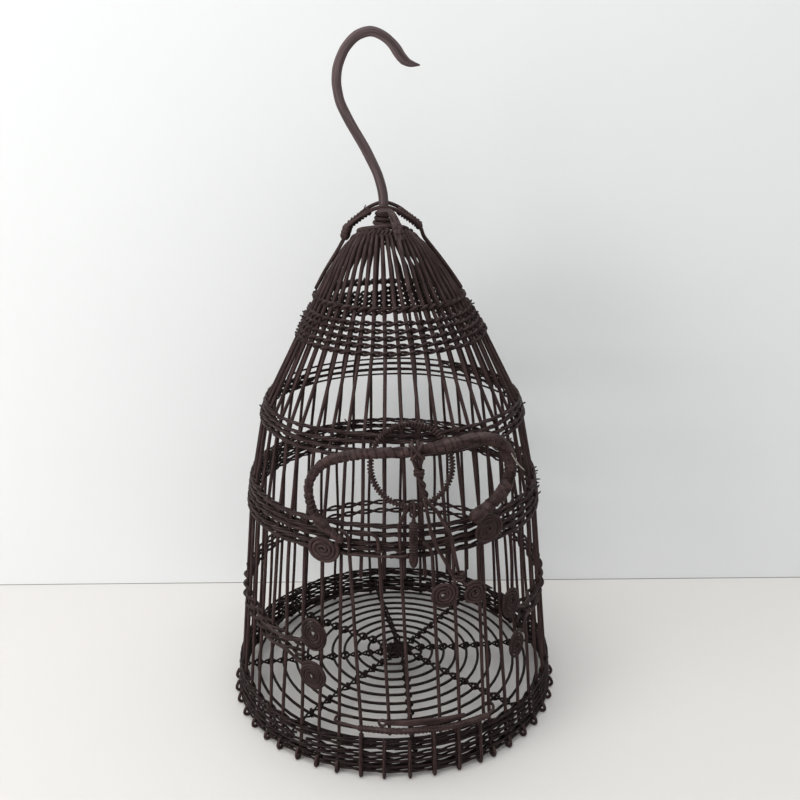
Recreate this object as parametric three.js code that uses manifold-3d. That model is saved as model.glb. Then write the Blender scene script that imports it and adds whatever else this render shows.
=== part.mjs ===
// Handwoven cane bird cage with a swivelling hook and a sliding door, in millimetres, +Z up.
// The front, with the door, faces -Y. The origin is the centre of the foot circle, on the ground.
import * as THREE from "three";
import { mergeVertices } from "three/addons/utils/BufferGeometryUtils.js";
import Module from "manifold-3d";

const wasm = await Module();
wasm.setup();

// Canes and weavers
const clearance = 0.3;
const caneThickness = 2.75;
const weaverThickness = 2.2;
const fineWeaverThickness = 1.5;
const weaverClearance = 0.5;
const stakeCount = 48;

// The wall: radius of the stakes' centres at each level, and how far each level is above the last
const footRadius = 151.5;
const middleBandRadius = 130.5;
const middleBandRise = 210;
const upperBandRadius = 115.5;
const upperBandRise = 76;
const crownBandRadius = 81;
const crownBandRise = 69;
const shoulderRadius = 45;
const shoulderRise = 63;
const throatRadius = 25;
const throatRise = 23;
const crownLean = 6;

// Feet and rim
const footBendHeight = 4.2;
const footCorner = 1.5;
const rimHeight = 20.5;
const tailHeight = 12;
const rimRowHeight = 6.2;
const rimRowPitch = 8.2;
const rimRows = 3;
const stubHeight = 39;

// Bands of weaving
const bandRowHeight = 4;
const middleRows = 4;
const middleRowPitch = 7.6;
const upperRows = 3;
const upperRowPitch = 6.8;
const crownRows = 3;
const crownRowPitch = 11;
const crownBandLift = 12;
const lowerBandHeight = 114;
const lowerBandPitch = 10;
const lowerBandRise = 10;
const lowerRosetteRadius = 12;

// Crown
const crownRingThickness = 3.4;
const crownBorderThickness = 2.4;
const crownBorderDrop = 4;
const archThickness = 3;
const archRise = 22;
const archDrop = 5;
const archLegLength = 21;
const frontStrapLength = 28;
const frontStrapAzimuth = 15;

// Hook
const hookThickness = 8.2;
const hookHeight = 153;
const hookWidth = 68;
const hookStartRise = 6;
const hookCollarTurns = 2;
const hookCollarThickness = 2.6;

// Floor
const floorHeight = 21;
const floorCoilThickness = 2.5;
const floorCoilTurns = 11;
const floorSpokeThickness = 3.2;
const floorSpokeCount = 8;
const hubRadius = 13;
const hubHeight = 5;

// Handle hoop
const hoopSpanDegrees = 70.7;
const hoopMiddleAzimuth = 7.55;
const hoopHeight = 96;
const hoopFootDrop = 6.3;
const hoopThickness = 9;
const hoopStand = 9.6;
const hoopLeftRosette = 13.5;
const hoopRightRosette = 12.3;

// Rosettes: flat spirals of cane
const rosetteCaneThickness = 2.4;
const rosetteGap = 0.9;
const rosetteEye = 1.8;

// Door
const doorLeftCount = 2;
const doorRightCount = 4;
const doorBarAzimuths = [-15.2, -5, 2.2, 13, 20.4, 30.2];
const doorBarFoot = 43;
const doorBarTopRise = 5;
const doorBarBend = 9;
const doorSlantShare = -0.045;
const doorSlopeShare = 0.095;
const doorRailHeight = 52;
const doorRailThickness = 4.2;
const doorStrapHeight = 60;
const doorStrapThickness = 2;
const jambPlay = 0.6;
const keeperDrop = 8;
const keeperThickness = 2.4;

// Pull ring, link and peg
const pullRingRadius = 32.3;
const pullRingThickness = 4.6;
const pullRingLeanDegrees = 22;
const linkRadius = 5.2;
const linkThickness = 2.4;
const linkRise = 33.5;
const pegThickness = 7.4;
const pegLength = 45;
const pegEyeRadius = 2.6;
const pegEyeThickness = 2;

// Latch strap
const latchLength = 125;
const latchSpanDegrees = 13;
const latchSpread = 6;
const latchAzimuth = 6.9;
const latchLeftRosette = 10.8;
const latchRightRosette = 10.2;

const caneRadius = caneThickness / 2;
const stakePitch = 360 / stakeCount;
const middleBandHeight = middleBandRise;
const upperBandHeight = middleBandHeight + upperBandRise;
const crownBandHeight = upperBandHeight + crownBandRise;
const shoulderHeight = crownBandHeight + shoulderRise;
const throatHeight = shoulderHeight + throatRise;

const wallProfile = [
  [0, footRadius],
  [middleBandHeight, middleBandRadius],
  [upperBandHeight, upperBandRadius],
  [crownBandHeight, crownBandRadius],
  [shoulderHeight, shoulderRadius],
  [throatHeight, throatRadius],
];

// Radius of the stakes' centres at a height, in straight runs between the bands.
function wallRadius(height) {
  const upper = Math.max(
    1,
    wallProfile.findIndex(([level]) => level >= height),
  );
  const last = height > throatHeight ? wallProfile.length - 1 : upper;
  const [lowLevel, lowRadius] = wallProfile[last - 1];
  const [highLevel, highRadius] = wallProfile[last];
  const share = (height - lowLevel) / (highLevel - lowLevel);
  return lowRadius + share * (highRadius - lowRadius);
}

// How far a weaver's centre stands off the stakes' centres. It runs at a slant from stake to stake,
// so it stands further off where they are close.
function weaverStand(height, thickness) {
  const square = caneRadius + weaverClearance + thickness / 2;
  const spacing = 2 * wallRadius(height) * Math.sin(Math.PI / stakeCount);
  return square / Math.sqrt(1 - (2 * square / spacing) ** 2);
}

const weaveReach = weaverStand(middleBandHeight, weaverThickness) + weaverThickness / 2;
const doorStand = weaveReach + clearance + caneRadius;
const pullRadius = middleBandRadius + weaveReach + 2 * clearance + pegThickness / 2;
const hoopRadius = pullRadius + hoopStand;

// The crown leans a little to the left above its band, as hand weaving does.
function leanAt(height) {
  const share = THREE.MathUtils.inverseLerp(crownBandHeight, throatHeight, height);
  return -crownLean * THREE.MathUtils.clamp(share, 0, 1);
}

// A point at an azimuth (0 at the front, growing to the right), a radius and a height.
function roundPoint(azimuth, radius, height) {
  const turn = THREE.MathUtils.degToRad(azimuth);
  return new THREE.Vector3(
    leanAt(height) + radius * Math.sin(turn),
    -radius * Math.cos(turn),
    height,
  );
}

// A point that stands off the stakes' centres, square to the wall's slope.
function wallPoint(azimuth, height, stand = 0) {
  const rise = caneThickness;
  const slope = (wallRadius(height + rise) - wallRadius(height - rise)) / (2 * rise);
  const length = Math.hypot(1, slope);
  return roundPoint(
    azimuth,
    wallRadius(height) + stand / length,
    height - (stand * slope) / length,
  );
}

function outward(azimuth) {
  const turn = THREE.MathUtils.degToRad(azimuth);
  return new THREE.Vector3(Math.sin(turn), -Math.cos(turn), 0);
}

function sideways(azimuth) {
  const turn = THREE.MathUtils.degToRad(azimuth);
  return new THREE.Vector3(Math.cos(turn), Math.sin(turn), 0);
}

function roundSection(thickness, sides = 5) {
  return Array.from({ length: sides }, (_, index) => {
    const turn = ((index + 0.5) / sides) * 2 * Math.PI;
    return [(Math.cos(turn) * thickness) / 2, (Math.sin(turn) * thickness) / 2];
  });
}

function flatSection(thickness, height) {
  const across = thickness / 2;
  const along = height / 2;
  return [
    [across, -along],
    [across, along],
    [-across, along],
    [-across, -along],
  ];
}

// A closed body from rings of corners, with both ends capped.
function solidFromRings(rings) {
  const sides = rings[0].length;
  const corners = rings.flat().flatMap((corner) => corner.toArray());
  const faces = [];
  for (let ring = 0; ring < rings.length - 1; ring += 1) {
    for (let side = 0; side < sides; side += 1) {
      const here = ring * sides + side;
      const beside = ring * sides + ((side + 1) % sides);
      faces.push(here, beside, beside + sides, here, beside + sides, here + sides);
    }
  }
  const lastRing = (rings.length - 1) * sides;
  for (let side = 1; side < sides - 1; side += 1) {
    faces.push(0, side + 1, side);
    faces.push(lastRing, lastRing + side, lastRing + side + 1);
  }
  const geometry = new THREE.BufferGeometry();
  geometry.setAttribute("position", new THREE.Float32BufferAttribute(corners, 3));
  geometry.setIndex(faces);
  geometry.computeVertexNormals();
  return geometry;
}

// A cane along a run of points, mitred at each bend. Its section is [outward, along] pairs, where
// outward is `facing`: one way at the start, or one way for each point. `sizes` swells or narrows it.
function cane(points, section, facing, sizes = points.map(() => 1)) {
  const heading = (index) =>
    points[index + 1].clone().sub(points[index]).normalize();
  const squared = (vector, to) =>
    vector.clone().addScaledVector(to, -vector.dot(to)).normalize();
  let way = heading(0);
  let normal = squared(Array.isArray(facing) ? facing[0] : facing, way);
  const rings = points.map((point, index) => {
    if (Array.isArray(facing)) normal = squared(facing[index], way);
    const next = index < points.length - 1 ? heading(index) : way;
    const mitre = way.clone().add(next).normalize();
    const slide = (vector) =>
      vector.clone().addScaledVector(way, -vector.dot(mitre) / way.dot(mitre));
    const side = new THREE.Vector3().crossVectors(way, normal);
    const size = sizes[index];
    const ring = section.map(([across, along]) => {
      const corner = normal.clone().multiplyScalar(across * size);
      return slide(corner.addScaledVector(side, along * size)).add(point);
    });
    normal = squared(slide(normal), next);
    way = next;
    return ring;
  });
  return solidFromRings(rings);
}

// Joins overlapping closed bodies into one.
function joined(geometries) {
  const solids = geometries.map((geometry) => {
    const bare = geometry.clone();
    bare.deleteAttribute("normal");
    bare.deleteAttribute("uv");
    const merged = mergeVertices(bare);
    return new wasm.Manifold(
      new wasm.Mesh({
        numProp: 3,
        vertProperties: merged.attributes.position.array,
        triVerts: new Uint32Array(merged.index.array),
      }),
    );
  });
  const mesh = solids.reduce((whole, solid) => whole.add(solid)).getMesh();
  const geometry = new THREE.BufferGeometry();
  geometry.setAttribute(
    "position",
    new THREE.BufferAttribute(new Float32Array(mesh.vertProperties), 3),
  );
  geometry.setIndex(new THREE.BufferAttribute(mesh.triVerts, 1));
  geometry.computeVertexNormals();
  return geometry;
}

const cage = new THREE.Group();
const caneBrown = 0x46393a;
const shadeBrown = 0x3d3132;

function addPiece(name, geometry, colour = caneBrown) {
  const material = new THREE.MeshStandardMaterial({
    color: colour,
    roughness: 0.55,
    metalness: 0,
  });
  const mesh = new THREE.Mesh(geometry, material);
  mesh.name = name;
  cage.add(mesh);
  return mesh;
}

function stakeAzimuth(index) {
  return (index + 0.5) * stakePitch;
}

// Stakes are counted from the front to the right. The door is as wide as the gap between its jambs.
const firstCut = -doorLeftCount;
const lastCut = doorRightCount - 1;
function isCut(index) {
  return index >= firstCut && index <= lastCut;
}

// From the tail's end outside the rim, down, under and in to the foot of the stake.
function footPoints(azimuth, height) {
  const sole = caneRadius * Math.cos(Math.PI / 5);
  const inner = wallRadius(footBendHeight);
  const outer = inner + doorStand;
  return [
    wallPoint(azimuth, height, doorStand),
    roundPoint(azimuth, outer, footBendHeight),
    roundPoint(azimuth, outer - footCorner, sole),
    roundPoint(azimuth, inner + footCorner, sole),
    roundPoint(azimuth, inner, footBendHeight),
  ];
}

function stakePoints(index) {
  const azimuth = stakeAzimuth(index);
  const bottom = isCut(index)
    ? [wallPoint(azimuth, middleBandHeight - middleRowPitch * middleRows)]
    : footPoints(azimuth, tailHeight);
  const levels = wallProfile.slice(1).map(([height]) => height);
  return [...bottom, ...levels.map((height) => wallPoint(azimuth, height))];
}

// Two neighbouring stakes are one cane, bent over at the throat.
function addStakePairs() {
  const topHeight = throatHeight + caneRadius;
  for (let pair = 0; pair < stakeCount / 2; pair += 1) {
    const left = 2 * pair - stakeCount / 2;
    const right = left + 1;
    const bendShare = 0.3;
    const bend = [bendShare, 1 - bendShare].map((share) =>
      roundPoint(stakeAzimuth(left + share), wallRadius(topHeight), topHeight),
    );
    const points = [...stakePoints(left), ...bend, ...stakePoints(right).reverse()];
    addPiece(
      `stake_pair_${String(pair + 1).padStart(2, "0")}`,
      cane(points, roundSection(caneThickness), outward(stakeAzimuth(left))),
    );
  }
}

function addRimStubs() {
  for (let index = firstCut; index <= lastCut; index += 1) {
    const azimuth = stakeAzimuth(index);
    const points = [...footPoints(azimuth, stubHeight), wallPoint(azimuth, stubHeight)];
    addPiece(
      `rim_stub_${index - firstCut + 1}`,
      cane(points, roundSection(caneThickness), outward(azimuth)),
    );
  }
}

// The way that stands square off the wall.
function wallNormal(azimuth, height) {
  const one = caneThickness;
  return wallPoint(azimuth, height, one).sub(wallPoint(azimuth, height)).divideScalar(one);
}

// One strand that winds up the wall, outside one stake and inside the next. It steps over two
// stakes at the back once a row, so that the rows alternate.
function addWeaving({ name, middle, rows, pitch, thickness, height }) {
  const start = middle - (rows * pitch) / 2;
  const points = [];
  const normals = [];
  for (let step = 0; step < rows * stakeCount; step += 1) {
    const row = Math.floor(step / stakeCount);
    const side = (step + row) % 2 ? 1 : -1;
    const azimuth = 180 + stakeAzimuth(step);
    const level = start + (step / stakeCount) * pitch;
    points.push(wallPoint(azimuth, level, side * weaverStand(level, thickness)));
    normals.push(wallNormal(azimuth, level));
  }
  addPiece(name, cane(points, flatSection(thickness, height), normals), shadeBrown);
}

// A flat spiral from its outer end inwards, in the plane of `right` and `up`.
// `stretch` makes it taller than wide, and `hand` is 1 where it winds from right to up.
function rosettePoints({ centre, right, radius, stretch = 1, start, hand }) {
  const pitch = rosetteCaneThickness + rosetteGap;
  const outer = radius - rosetteCaneThickness / 2;
  const turns = (outer - rosetteEye) / pitch;
  const stepsPerTurn = 10;
  const steps = Math.round(turns * stepsPerTurn);
  return Array.from({ length: steps + 1 }, (_, step) => {
    const reach = outer - (step / steps) * turns * pitch;
    const turn = THREE.MathUtils.degToRad(start) + (hand * step * 2 * Math.PI) / stepsPerTurn;
    return centre
      .clone()
      .addScaledVector(right, reach * Math.cos(turn))
      .add(new THREE.Vector3(0, 0, reach * stretch * Math.sin(turn)));
  });
}

// The least gap between turns of a wound cane: points more than a turn's share apart are compared.
function leastGap(points, thickness, skip) {
  let least = Infinity;
  points.forEach((point, index) => {
    points.slice(index + skip).forEach((other) => {
      least = Math.min(least, point.distanceTo(other) - thickness);
    });
  });
  return least;
}

// Where the lower band's rosettes sit and how big they are, as shares of the rosette radius.
const lowerRosetteShares = [
  {
    name: "lower_band_top_weaver",
    left: { azimuth: -27.7, lift: 0.83, reach: 1, stretch: 1.35, start: 215, hand: 1 },
    right: { azimuth: 44.1, lift: 1.12, reach: 0.87, stretch: 1.5, start: -35, hand: -1 },
  },
  {
    name: "lower_band_bottom_weaver",
    left: { azimuth: -27.7, lift: -1.42, reach: 1.04, stretch: 1.1, start: 140, hand: -1 },
    right: { azimuth: 46.2, lift: -1.46, reach: 0.84, stretch: 1.45, start: 40, hand: 1 },
  },
];

// Two single weavers stop at the door. Each runs from a rosette on the left, round the back, to one
// on the right, and rises a little on its way.
function addLowerBand() {
  const stand = weaverStand(lowerBandHeight, weaverThickness);
  const flat = weaveReach + clearance + rosetteCaneThickness / 2;
  const firstStake = -doorLeftCount - 3;
  const lastStake = doorRightCount + 2 - stakeCount;
  lowerRosetteShares.forEach(({ name, left, right }, row) => {
    const low = lowerBandHeight - row * lowerBandPitch;
    const rosette = ({ azimuth, lift, reach, ...form }, base) =>
      rosettePoints({
        centre: wallPoint(azimuth, base + lift * lowerRosetteRadius, flat),
        right: sideways(azimuth),
        radius: reach * lowerRosetteRadius,
        ...form,
      });
    const weave = [];
    const normals = [];
    for (let stake = firstStake; stake >= lastStake; stake -= 1) {
      const share = (firstStake - stake) / (firstStake - lastStake);
      const isEnd = stake === firstStake || stake === lastStake;
      const side = isEnd || (stake + row) % 2 ? 1 : -1;
      const azimuth = stakeAzimuth(stake);
      weave.push(wallPoint(azimuth, low + share * lowerBandRise, side * stand));
      normals.push(wallNormal(azimuth, low));
    }
    const start = rosette(left, low).reverse();
    const end = rosette(right, low + lowerBandRise);
    const facings = [
      ...start.map(() => outward(left.azimuth)),
      ...normals,
      ...end.map(() => outward(right.azimuth)),
    ];
    console.log(name, "gap", leastGap([...start, ...end], rosetteCaneThickness, 6).toFixed(2));
    const section = flatSection(weaverThickness, rosetteCaneThickness);
    addPiece(name, cane([...start, ...weave, ...end], section, facings), shadeBrown);
  });
}

function addCrownRings() {
  const borderStand = caneRadius + clearance + crownBorderThickness / 2;
  const border = wallPoint(90, throatHeight - crownBorderDrop, borderStand);
  const rings = [
    ["crown_border", border.x - leanAt(border.z), border.z, crownBorderThickness],
    [
      "crown_ring",
      throatRadius,
      throatHeight + caneThickness + clearance + crownRingThickness / 2,
      crownRingThickness,
    ],
  ];
  rings.forEach(([name, radius, height, thickness]) => {
    const ring = addPiece(name, new THREE.TorusGeometry(radius, thickness / 2, 5, 32));
    ring.position.set(leanAt(height), 0, height);
  });
  return rings[0];
}

// The arch's outline, as shares of its half width and of its rise.
const archShares = [
  [1, 0],
  [0.99, 0.17],
  [0.91, 0.36],
  [0.69, 0.56],
  [0.41, 0.8],
  [0.16, 0.945],
];

function addArch(crownBorder) {
  const [, borderRadius, , borderThickness] = crownBorder;
  const half = borderRadius + borderThickness / 2 + clearance + archThickness / 2;
  const archFoot = throatHeight - archDrop;
  const rise = archDrop + archRise;
  const shank = hookThickness / 2 + clearance + archThickness / 2;
  const foot = archThickness / 2 + clearance / 2;
  const stand = caneRadius + clearance + archThickness / 2;
  const outline = (side) =>
    archShares.map(([across, up]) => [side * across * half, archFoot + up * rise]);
  const legHeights = [archFoot - archLegLength, archFoot - archLegLength / 2 - foot];
  for (const [name, depth] of [
    ["arch_cane_front", -1],
    ["arch_cane_rear", 1],
  ]) {
    const span = [...outline(-1), [0, throatHeight + archRise], ...outline(1).reverse()].map(
      ([across, height]) => {
        const spread = 1 - Math.min(1, Math.abs(across) / half);
        const apart = foot + (shank - foot) * Math.min(1, 1.6 * spread);
        return new THREE.Vector3(leanAt(throatHeight) + across, depth * apart, height);
      },
    );
    const leg = (azimuth) =>
      legHeights.map((height) =>
        wallPoint(azimuth, height, stand).add(new THREE.Vector3(0, depth * foot, 0)),
      );
    const points = [...leg(-90), ...span, ...leg(90).reverse()];
    addPiece(name, cane(points, roundSection(archThickness, 6), new THREE.Vector3(0, -1, 0)));
  }
  const strap = archShares.map(([across, up]) =>
    roundPoint(
      frontStrapAzimuth,
      Math.max(across * half, 2 * foot + shank + archThickness / 2),
      archFoot + up * rise,
    ),
  );
  const strapThickness = (archThickness * 2) / 3;
  const strapStand = caneRadius + 2 * clearance + strapThickness / 2;
  const points = [
    ...strap.reverse(),
    wallPoint(frontStrapAzimuth, archFoot - frontStrapLength / 2, strapStand),
    wallPoint(frontStrapAzimuth, archFoot - frontStrapLength, strapStand),
  ];
  const section = flatSection(strapThickness, 2 * archThickness);
  addPiece("crown_front_strap", cane(points, section, new THREE.Vector3(0, 0, 1)));
}

// The hook's outline, as shares of its width and height from the foot of the shank.
const hookShares = [
  [0, 0],
  [0, 0.11],
  [-0.01, 0.17],
  [-0.07, 0.265],
  [-0.22, 0.4],
  [-0.4, 0.535],
  [-0.52, 0.64],
  [-0.56, 0.74],
  [-0.54, 0.82],
  [-0.45, 0.91],
  [-0.31, 0.975],
  [-0.13, 1],
  [0.03, 0.97],
  [0.15, 0.92],
  [0.22, 0.865],
  [0.305, 0.832],
  [0.44, 0.826],
];
const hookTipShares = [1, 1.05, 0.95, 0.25];

function addHook() {
  const points = hookShares.map(
    ([across, up]) =>
      new THREE.Vector3(
        leanAt(throatHeight) + across * hookWidth,
        0,
        throatHeight + hookStartRise + up * hookHeight,
      ),
  );
  const plain = points.length - hookTipShares.length;
  const sizes = points.map((_, index) => (index < plain ? 1 : hookTipShares[index - plain]));
  const section = roundSection(hookThickness, 8);
  addPiece("hook", cane(points, section, new THREE.Vector3(0, -1, 0), sizes));

  const radius = hookThickness / 2 + clearance + hookCollarThickness / 2;
  const pitch = hookCollarThickness + 2 * clearance;
  const stepsPerTurn = 12;
  const top = throatHeight + archRise - archThickness - clearance - hookCollarThickness;
  const collar = [];
  for (let step = 0; step <= hookCollarTurns * stepsPerTurn; step += 1) {
    const turn = (step / stepsPerTurn) * 2 * Math.PI;
    collar.push(
      new THREE.Vector3(
        leanAt(throatHeight) + (radius * Math.cos(turn)) / Math.cos(Math.PI / stepsPerTurn),
        (radius * Math.sin(turn)) / Math.cos(Math.PI / stepsPerTurn),
        top - (step / stepsPerTurn) * pitch,
      ),
    );
  }
  const collarSection = roundSection(hookCollarThickness, 5);
  console.log("hook_collar gap", leastGap(collar, hookCollarThickness, stepsPerTurn / 2).toFixed(2));
  addPiece("hook_collar", cane(collar, collarSection, outward(90)), shadeBrown);
}

function addFloor() {
  const rimFace = wallRadius(floorHeight) - weaveReach;
  const outer = rimFace - 2 * clearance - floorCoilThickness / 2;
  const inner = hubRadius + clearance + floorCoilThickness / 2;
  const stepsPerTurn = 18;
  const steps = floorCoilTurns * stepsPerTurn;
  const coil = Array.from({ length: steps + 1 }, (_, step) =>
    roundPoint((step / stepsPerTurn) * 360, outer - (step / steps) * (outer - inner), floorHeight),
  );
  console.log("floor_coil gap", leastGap(coil, floorCoilThickness, stepsPerTurn / 2).toFixed(2));
  addPiece("floor_coil", cane(coil, roundSection(floorCoilThickness, 4), outward(0)), shadeBrown);

  const spokeHeight = floorHeight - floorCoilThickness / 2 - clearance - floorSpokeThickness / 2;
  const reach = wallRadius(spokeHeight) - weaverThickness - clearance;
  const crossings = Array.from({ length: floorSpokeCount / 2 }, (_, index) => {
    const azimuth = stakePitch + (index * 360) / floorSpokeCount;
    const ends = [
      roundPoint(azimuth + 180, reach, spokeHeight),
      roundPoint(azimuth, reach, spokeHeight),
    ];
    return cane(ends, roundSection(floorSpokeThickness, 6), new THREE.Vector3(0, 0, 1));
  });
  const hubProfile = [
    [0, -1],
    [0.75, -0.85],
    [1, 0],
    [0.8, 0.8],
    [0, 1],
  ].map(([across, up]) => new THREE.Vector2(across * hubRadius, (up * hubHeight) / 2));
  const hub = new THREE.LatheGeometry(hubProfile, 16);
  hub.rotateX(Math.PI / 2);
  hub.translate(0, 0, spokeHeight);
  addPiece("floor_spokes", joined([...crossings, hub]), shadeBrown);
}

// The hoop's centreline: shares of its angle, of its height, and of its step from the middle band
// out to the hoop's radius.
const hoopShares = [
  [-0.411, 0.168, 0.15],
  [-0.482, 0.294, 0.35],
  [-0.5, 0.485, 0.6],
  [-0.487, 0.636, 0.8],
  [-0.431, 0.78, 0.92],
  [-0.357, 0.873, 1],
  [-0.24, 0.926, 1],
  [-0.036, 0.946, 1],
  [0.118, 0.978, 1],
  [0.288, 1, 1],
  [0.395, 0.903, 0.97],
  [0.465, 0.71, 0.9],
  [0.475, 0.539, 0.8],
  [0.435, 0.396, 0.7],
  [0.36, 0.339, 0.65],
  [0.29, 0.275, 0.6],
];
const hoopSizeShares = [0.6, 0.75, 0.8, 0.8, 0.85];
const hoopRosetteShares = { left: [-0.449, 0, 0], right: [0.351, 0.128, 0.45] };

function hoopPoint([across, up, out]) {
  const rosetteStand = weaveReach + 2 * clearance + rosetteCaneThickness / 2;
  const footHeight = middleBandHeight - hoopFootDrop;
  const near = wallRadius(footHeight) + rosetteStand;
  return roundPoint(
    hoopMiddleAzimuth + across * hoopSpanDegrees,
    near + out * (hoopRadius - near),
    footHeight + up * hoopHeight,
  );
}

function addHoop() {
  const { left, right } = hoopRosetteShares;
  const rosette = (place, form) =>
    rosettePoints({
      centre: hoopPoint(place),
      right: sideways(hoopMiddleAzimuth + place[0] * hoopSpanDegrees),
      ...form,
    });
  const start = rosette(left, { radius: hoopLeftRosette, stretch: 0.9, start: 40, hand: -1 });
  const end = rosette(right, { radius: hoopRightRosette, start: 120, hand: -1 });
  const bar = hoopShares.map(hoopPoint);
  const points = [...start.reverse(), ...bar, ...end];
  const thin = rosetteCaneThickness / hoopThickness;
  const taper = hoopSizeShares;
  const barSizes = bar.map((_, index) => taper[Math.min(index, bar.length - 1 - index)] ?? 1);
  const sizes = [...start.map(() => thin), ...barSizes, ...end.map(() => thin)];
  console.log("handle_hoop gap", leastGap([...start, ...end], rosetteCaneThickness, 5).toFixed(2));
  const section = roundSection(hoopThickness, 6);
  addPiece("handle_hoop", cane(points, section, outward(-20), sizes));
}

// The door's own way of sliding: up, a little to the left, and in along the wall.
const doorWay = new THREE.Vector3(doorSlantShare, doorSlopeShare, 1);

function doorBarPoint(azimuth, height) {
  const gate = wallPoint(azimuth, middleBandHeight, doorStand);
  return gate.clone().addScaledVector(doorWay, height - gate.z);
}

// Where each bar's top ends and bends: height above the shortest bar and shares of the bend.
const doorBarTopShares = [
  { up: 0.2, bends: [[-0.75, 0.45]] },
  { up: 0.2, bends: [[-0.5, 0.3], [-1.3, 0.45]] },
  { up: 1.4, bends: [[0.6, 1.2], [1, 1.75]] },
  { up: -1.5, bends: [[-0.3, 0.7], [-0.8, 1.1]] },
  { up: -1, bends: [] },
  { up: -1.7, bends: [] },
];

function addDoorBars() {
  doorBarAzimuths.forEach((azimuth, index) => {
    const { up, bends } = doorBarTopShares[index];
    const top = doorBarPoint(azimuth, middleBandHeight + doorBarTopRise + up * doorBarBend);
    const points = [
      doorBarPoint(azimuth, doorBarFoot),
      top,
      ...bends.map(([across, rise]) =>
        top
          .clone()
          .addScaledVector(sideways(azimuth), across * doorBarBend)
          .add(new THREE.Vector3(0, 0, rise * doorBarBend)),
      ),
    ];
    addPiece(
      `door_bar_${index + 1}`,
      cane(points, roundSection(caneThickness, 6), outward(azimuth)),
    );
  });
}

// Points round a jamb stake, as steps sideways and outward from its centre.
function roundJamb(stake, steps) {
  const azimuth = stakeAzimuth(stake);
  const centre = wallPoint(azimuth, doorRailHeight);
  return steps.map(([across, out]) =>
    centre
      .clone()
      .addScaledVector(sideways(azimuth), across)
      .addScaledVector(outward(azimuth), out),
  );
}

function addDoorRail() {
  const loopThickness = caneThickness;
  const near = caneRadius + jambPlay + loopThickness / 2;
  const leftShift = near + 2 * caneThickness;
  const back = near + caneThickness;
  const leftLoop = roundJamb(-doorLeftCount - 1, [
    [leftShift, -back - clearance],
    [0, -back],
    [-near, -near],
    [-near - clearance, near / 2],
    [0, near + clearance],
  ]);
  const rightLoop = roundJamb(doorRightCount, [
    [0, near + caneThickness + clearance],
    [near, near / 2],
    [near, -near / 2],
    [0, -near - clearance],
    [-near, -near - clearance],
  ]);
  const front = caneRadius + clearance + doorRailThickness / 2;
  const middle = doorBarAzimuths.map((azimuth) =>
    doorBarPoint(azimuth, doorRailHeight).addScaledVector(outward(azimuth), front),
  );
  const thin = loopThickness / doorRailThickness;
  const points = [...leftLoop, ...middle, ...rightLoop];
  const sizes = [...leftLoop.map(() => thin), ...middle.map(() => 1), ...rightLoop.map(() => thin)];
  const section = roundSection(doorRailThickness, 6);
  addPiece("door_bottom_rail", cane(points, section, new THREE.Vector3(0, 0, 1), sizes));

  const strapFront = caneRadius + 2 * clearance + doorStrapThickness / 2;
  const strap = doorBarAzimuths.slice(1, 5).map((azimuth) =>
    doorBarPoint(azimuth, doorStrapHeight).addScaledVector(outward(azimuth), strapFront),
  );
  const overhang = sideways(doorBarAzimuths[1]).multiplyScalar(caneThickness);
  strap[0].sub(overhang);
  strap[strap.length - 1].add(overhang);
  const strapSection = flatSection(doorStrapThickness, 2 * doorStrapThickness);
  addPiece("door_cross_strap", cane(strap, strapSection, outward(0)));
}

// A fixed cane in front of the first three bars, its ends tucked against the middle band.
function addKeeper() {
  const over = caneRadius + clearance + keeperThickness / 2;
  const tuck = weaveReach + clearance + keeperThickness / 2;
  const held = doorBarAzimuths.slice(0, 3);
  const keeperHeight = middleBandHeight - keeperDrop;
  const barAt = (azimuth) => doorBarPoint(azimuth, keeperHeight);
  const front = held.map((azimuth) => barAt(azimuth).addScaledVector(outward(azimuth), over));
  const besideAt = (point, azimuth, steps) =>
    point.clone().addScaledVector(sideways(azimuth), (steps * keeperThickness * 4) / 3);
  const tuckAt = (azimuth, steps) => {
    const bar = besideAt(barAt(azimuth), azimuth, steps);
    const turn = THREE.MathUtils.radToDeg(Math.atan2(bar.x, -bar.y));
    return wallPoint(turn, keeperHeight, tuck);
  };
  const points = [
    tuckAt(held[0], -1.5),
    besideAt(front[0], held[0], -1),
    ...front,
    besideAt(front[2], held[2], 1),
    tuckAt(held[2], 1.5),
  ];
  addPiece("door_keeper", cane(points, roundSection(keeperThickness), outward(0)));
}

// The ring, link and peg share one upright plane just in front of the middle band, beside the bent
// top of the third bar.
const barToLink =
  doorBarBend + doorSlantShare * linkRise + caneRadius + linkThickness / 2 + 2 * clearance;
const ringAzimuth = doorBarAzimuths[2] + THREE.MathUtils.radToDeg(barToLink / pullRadius);

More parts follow.
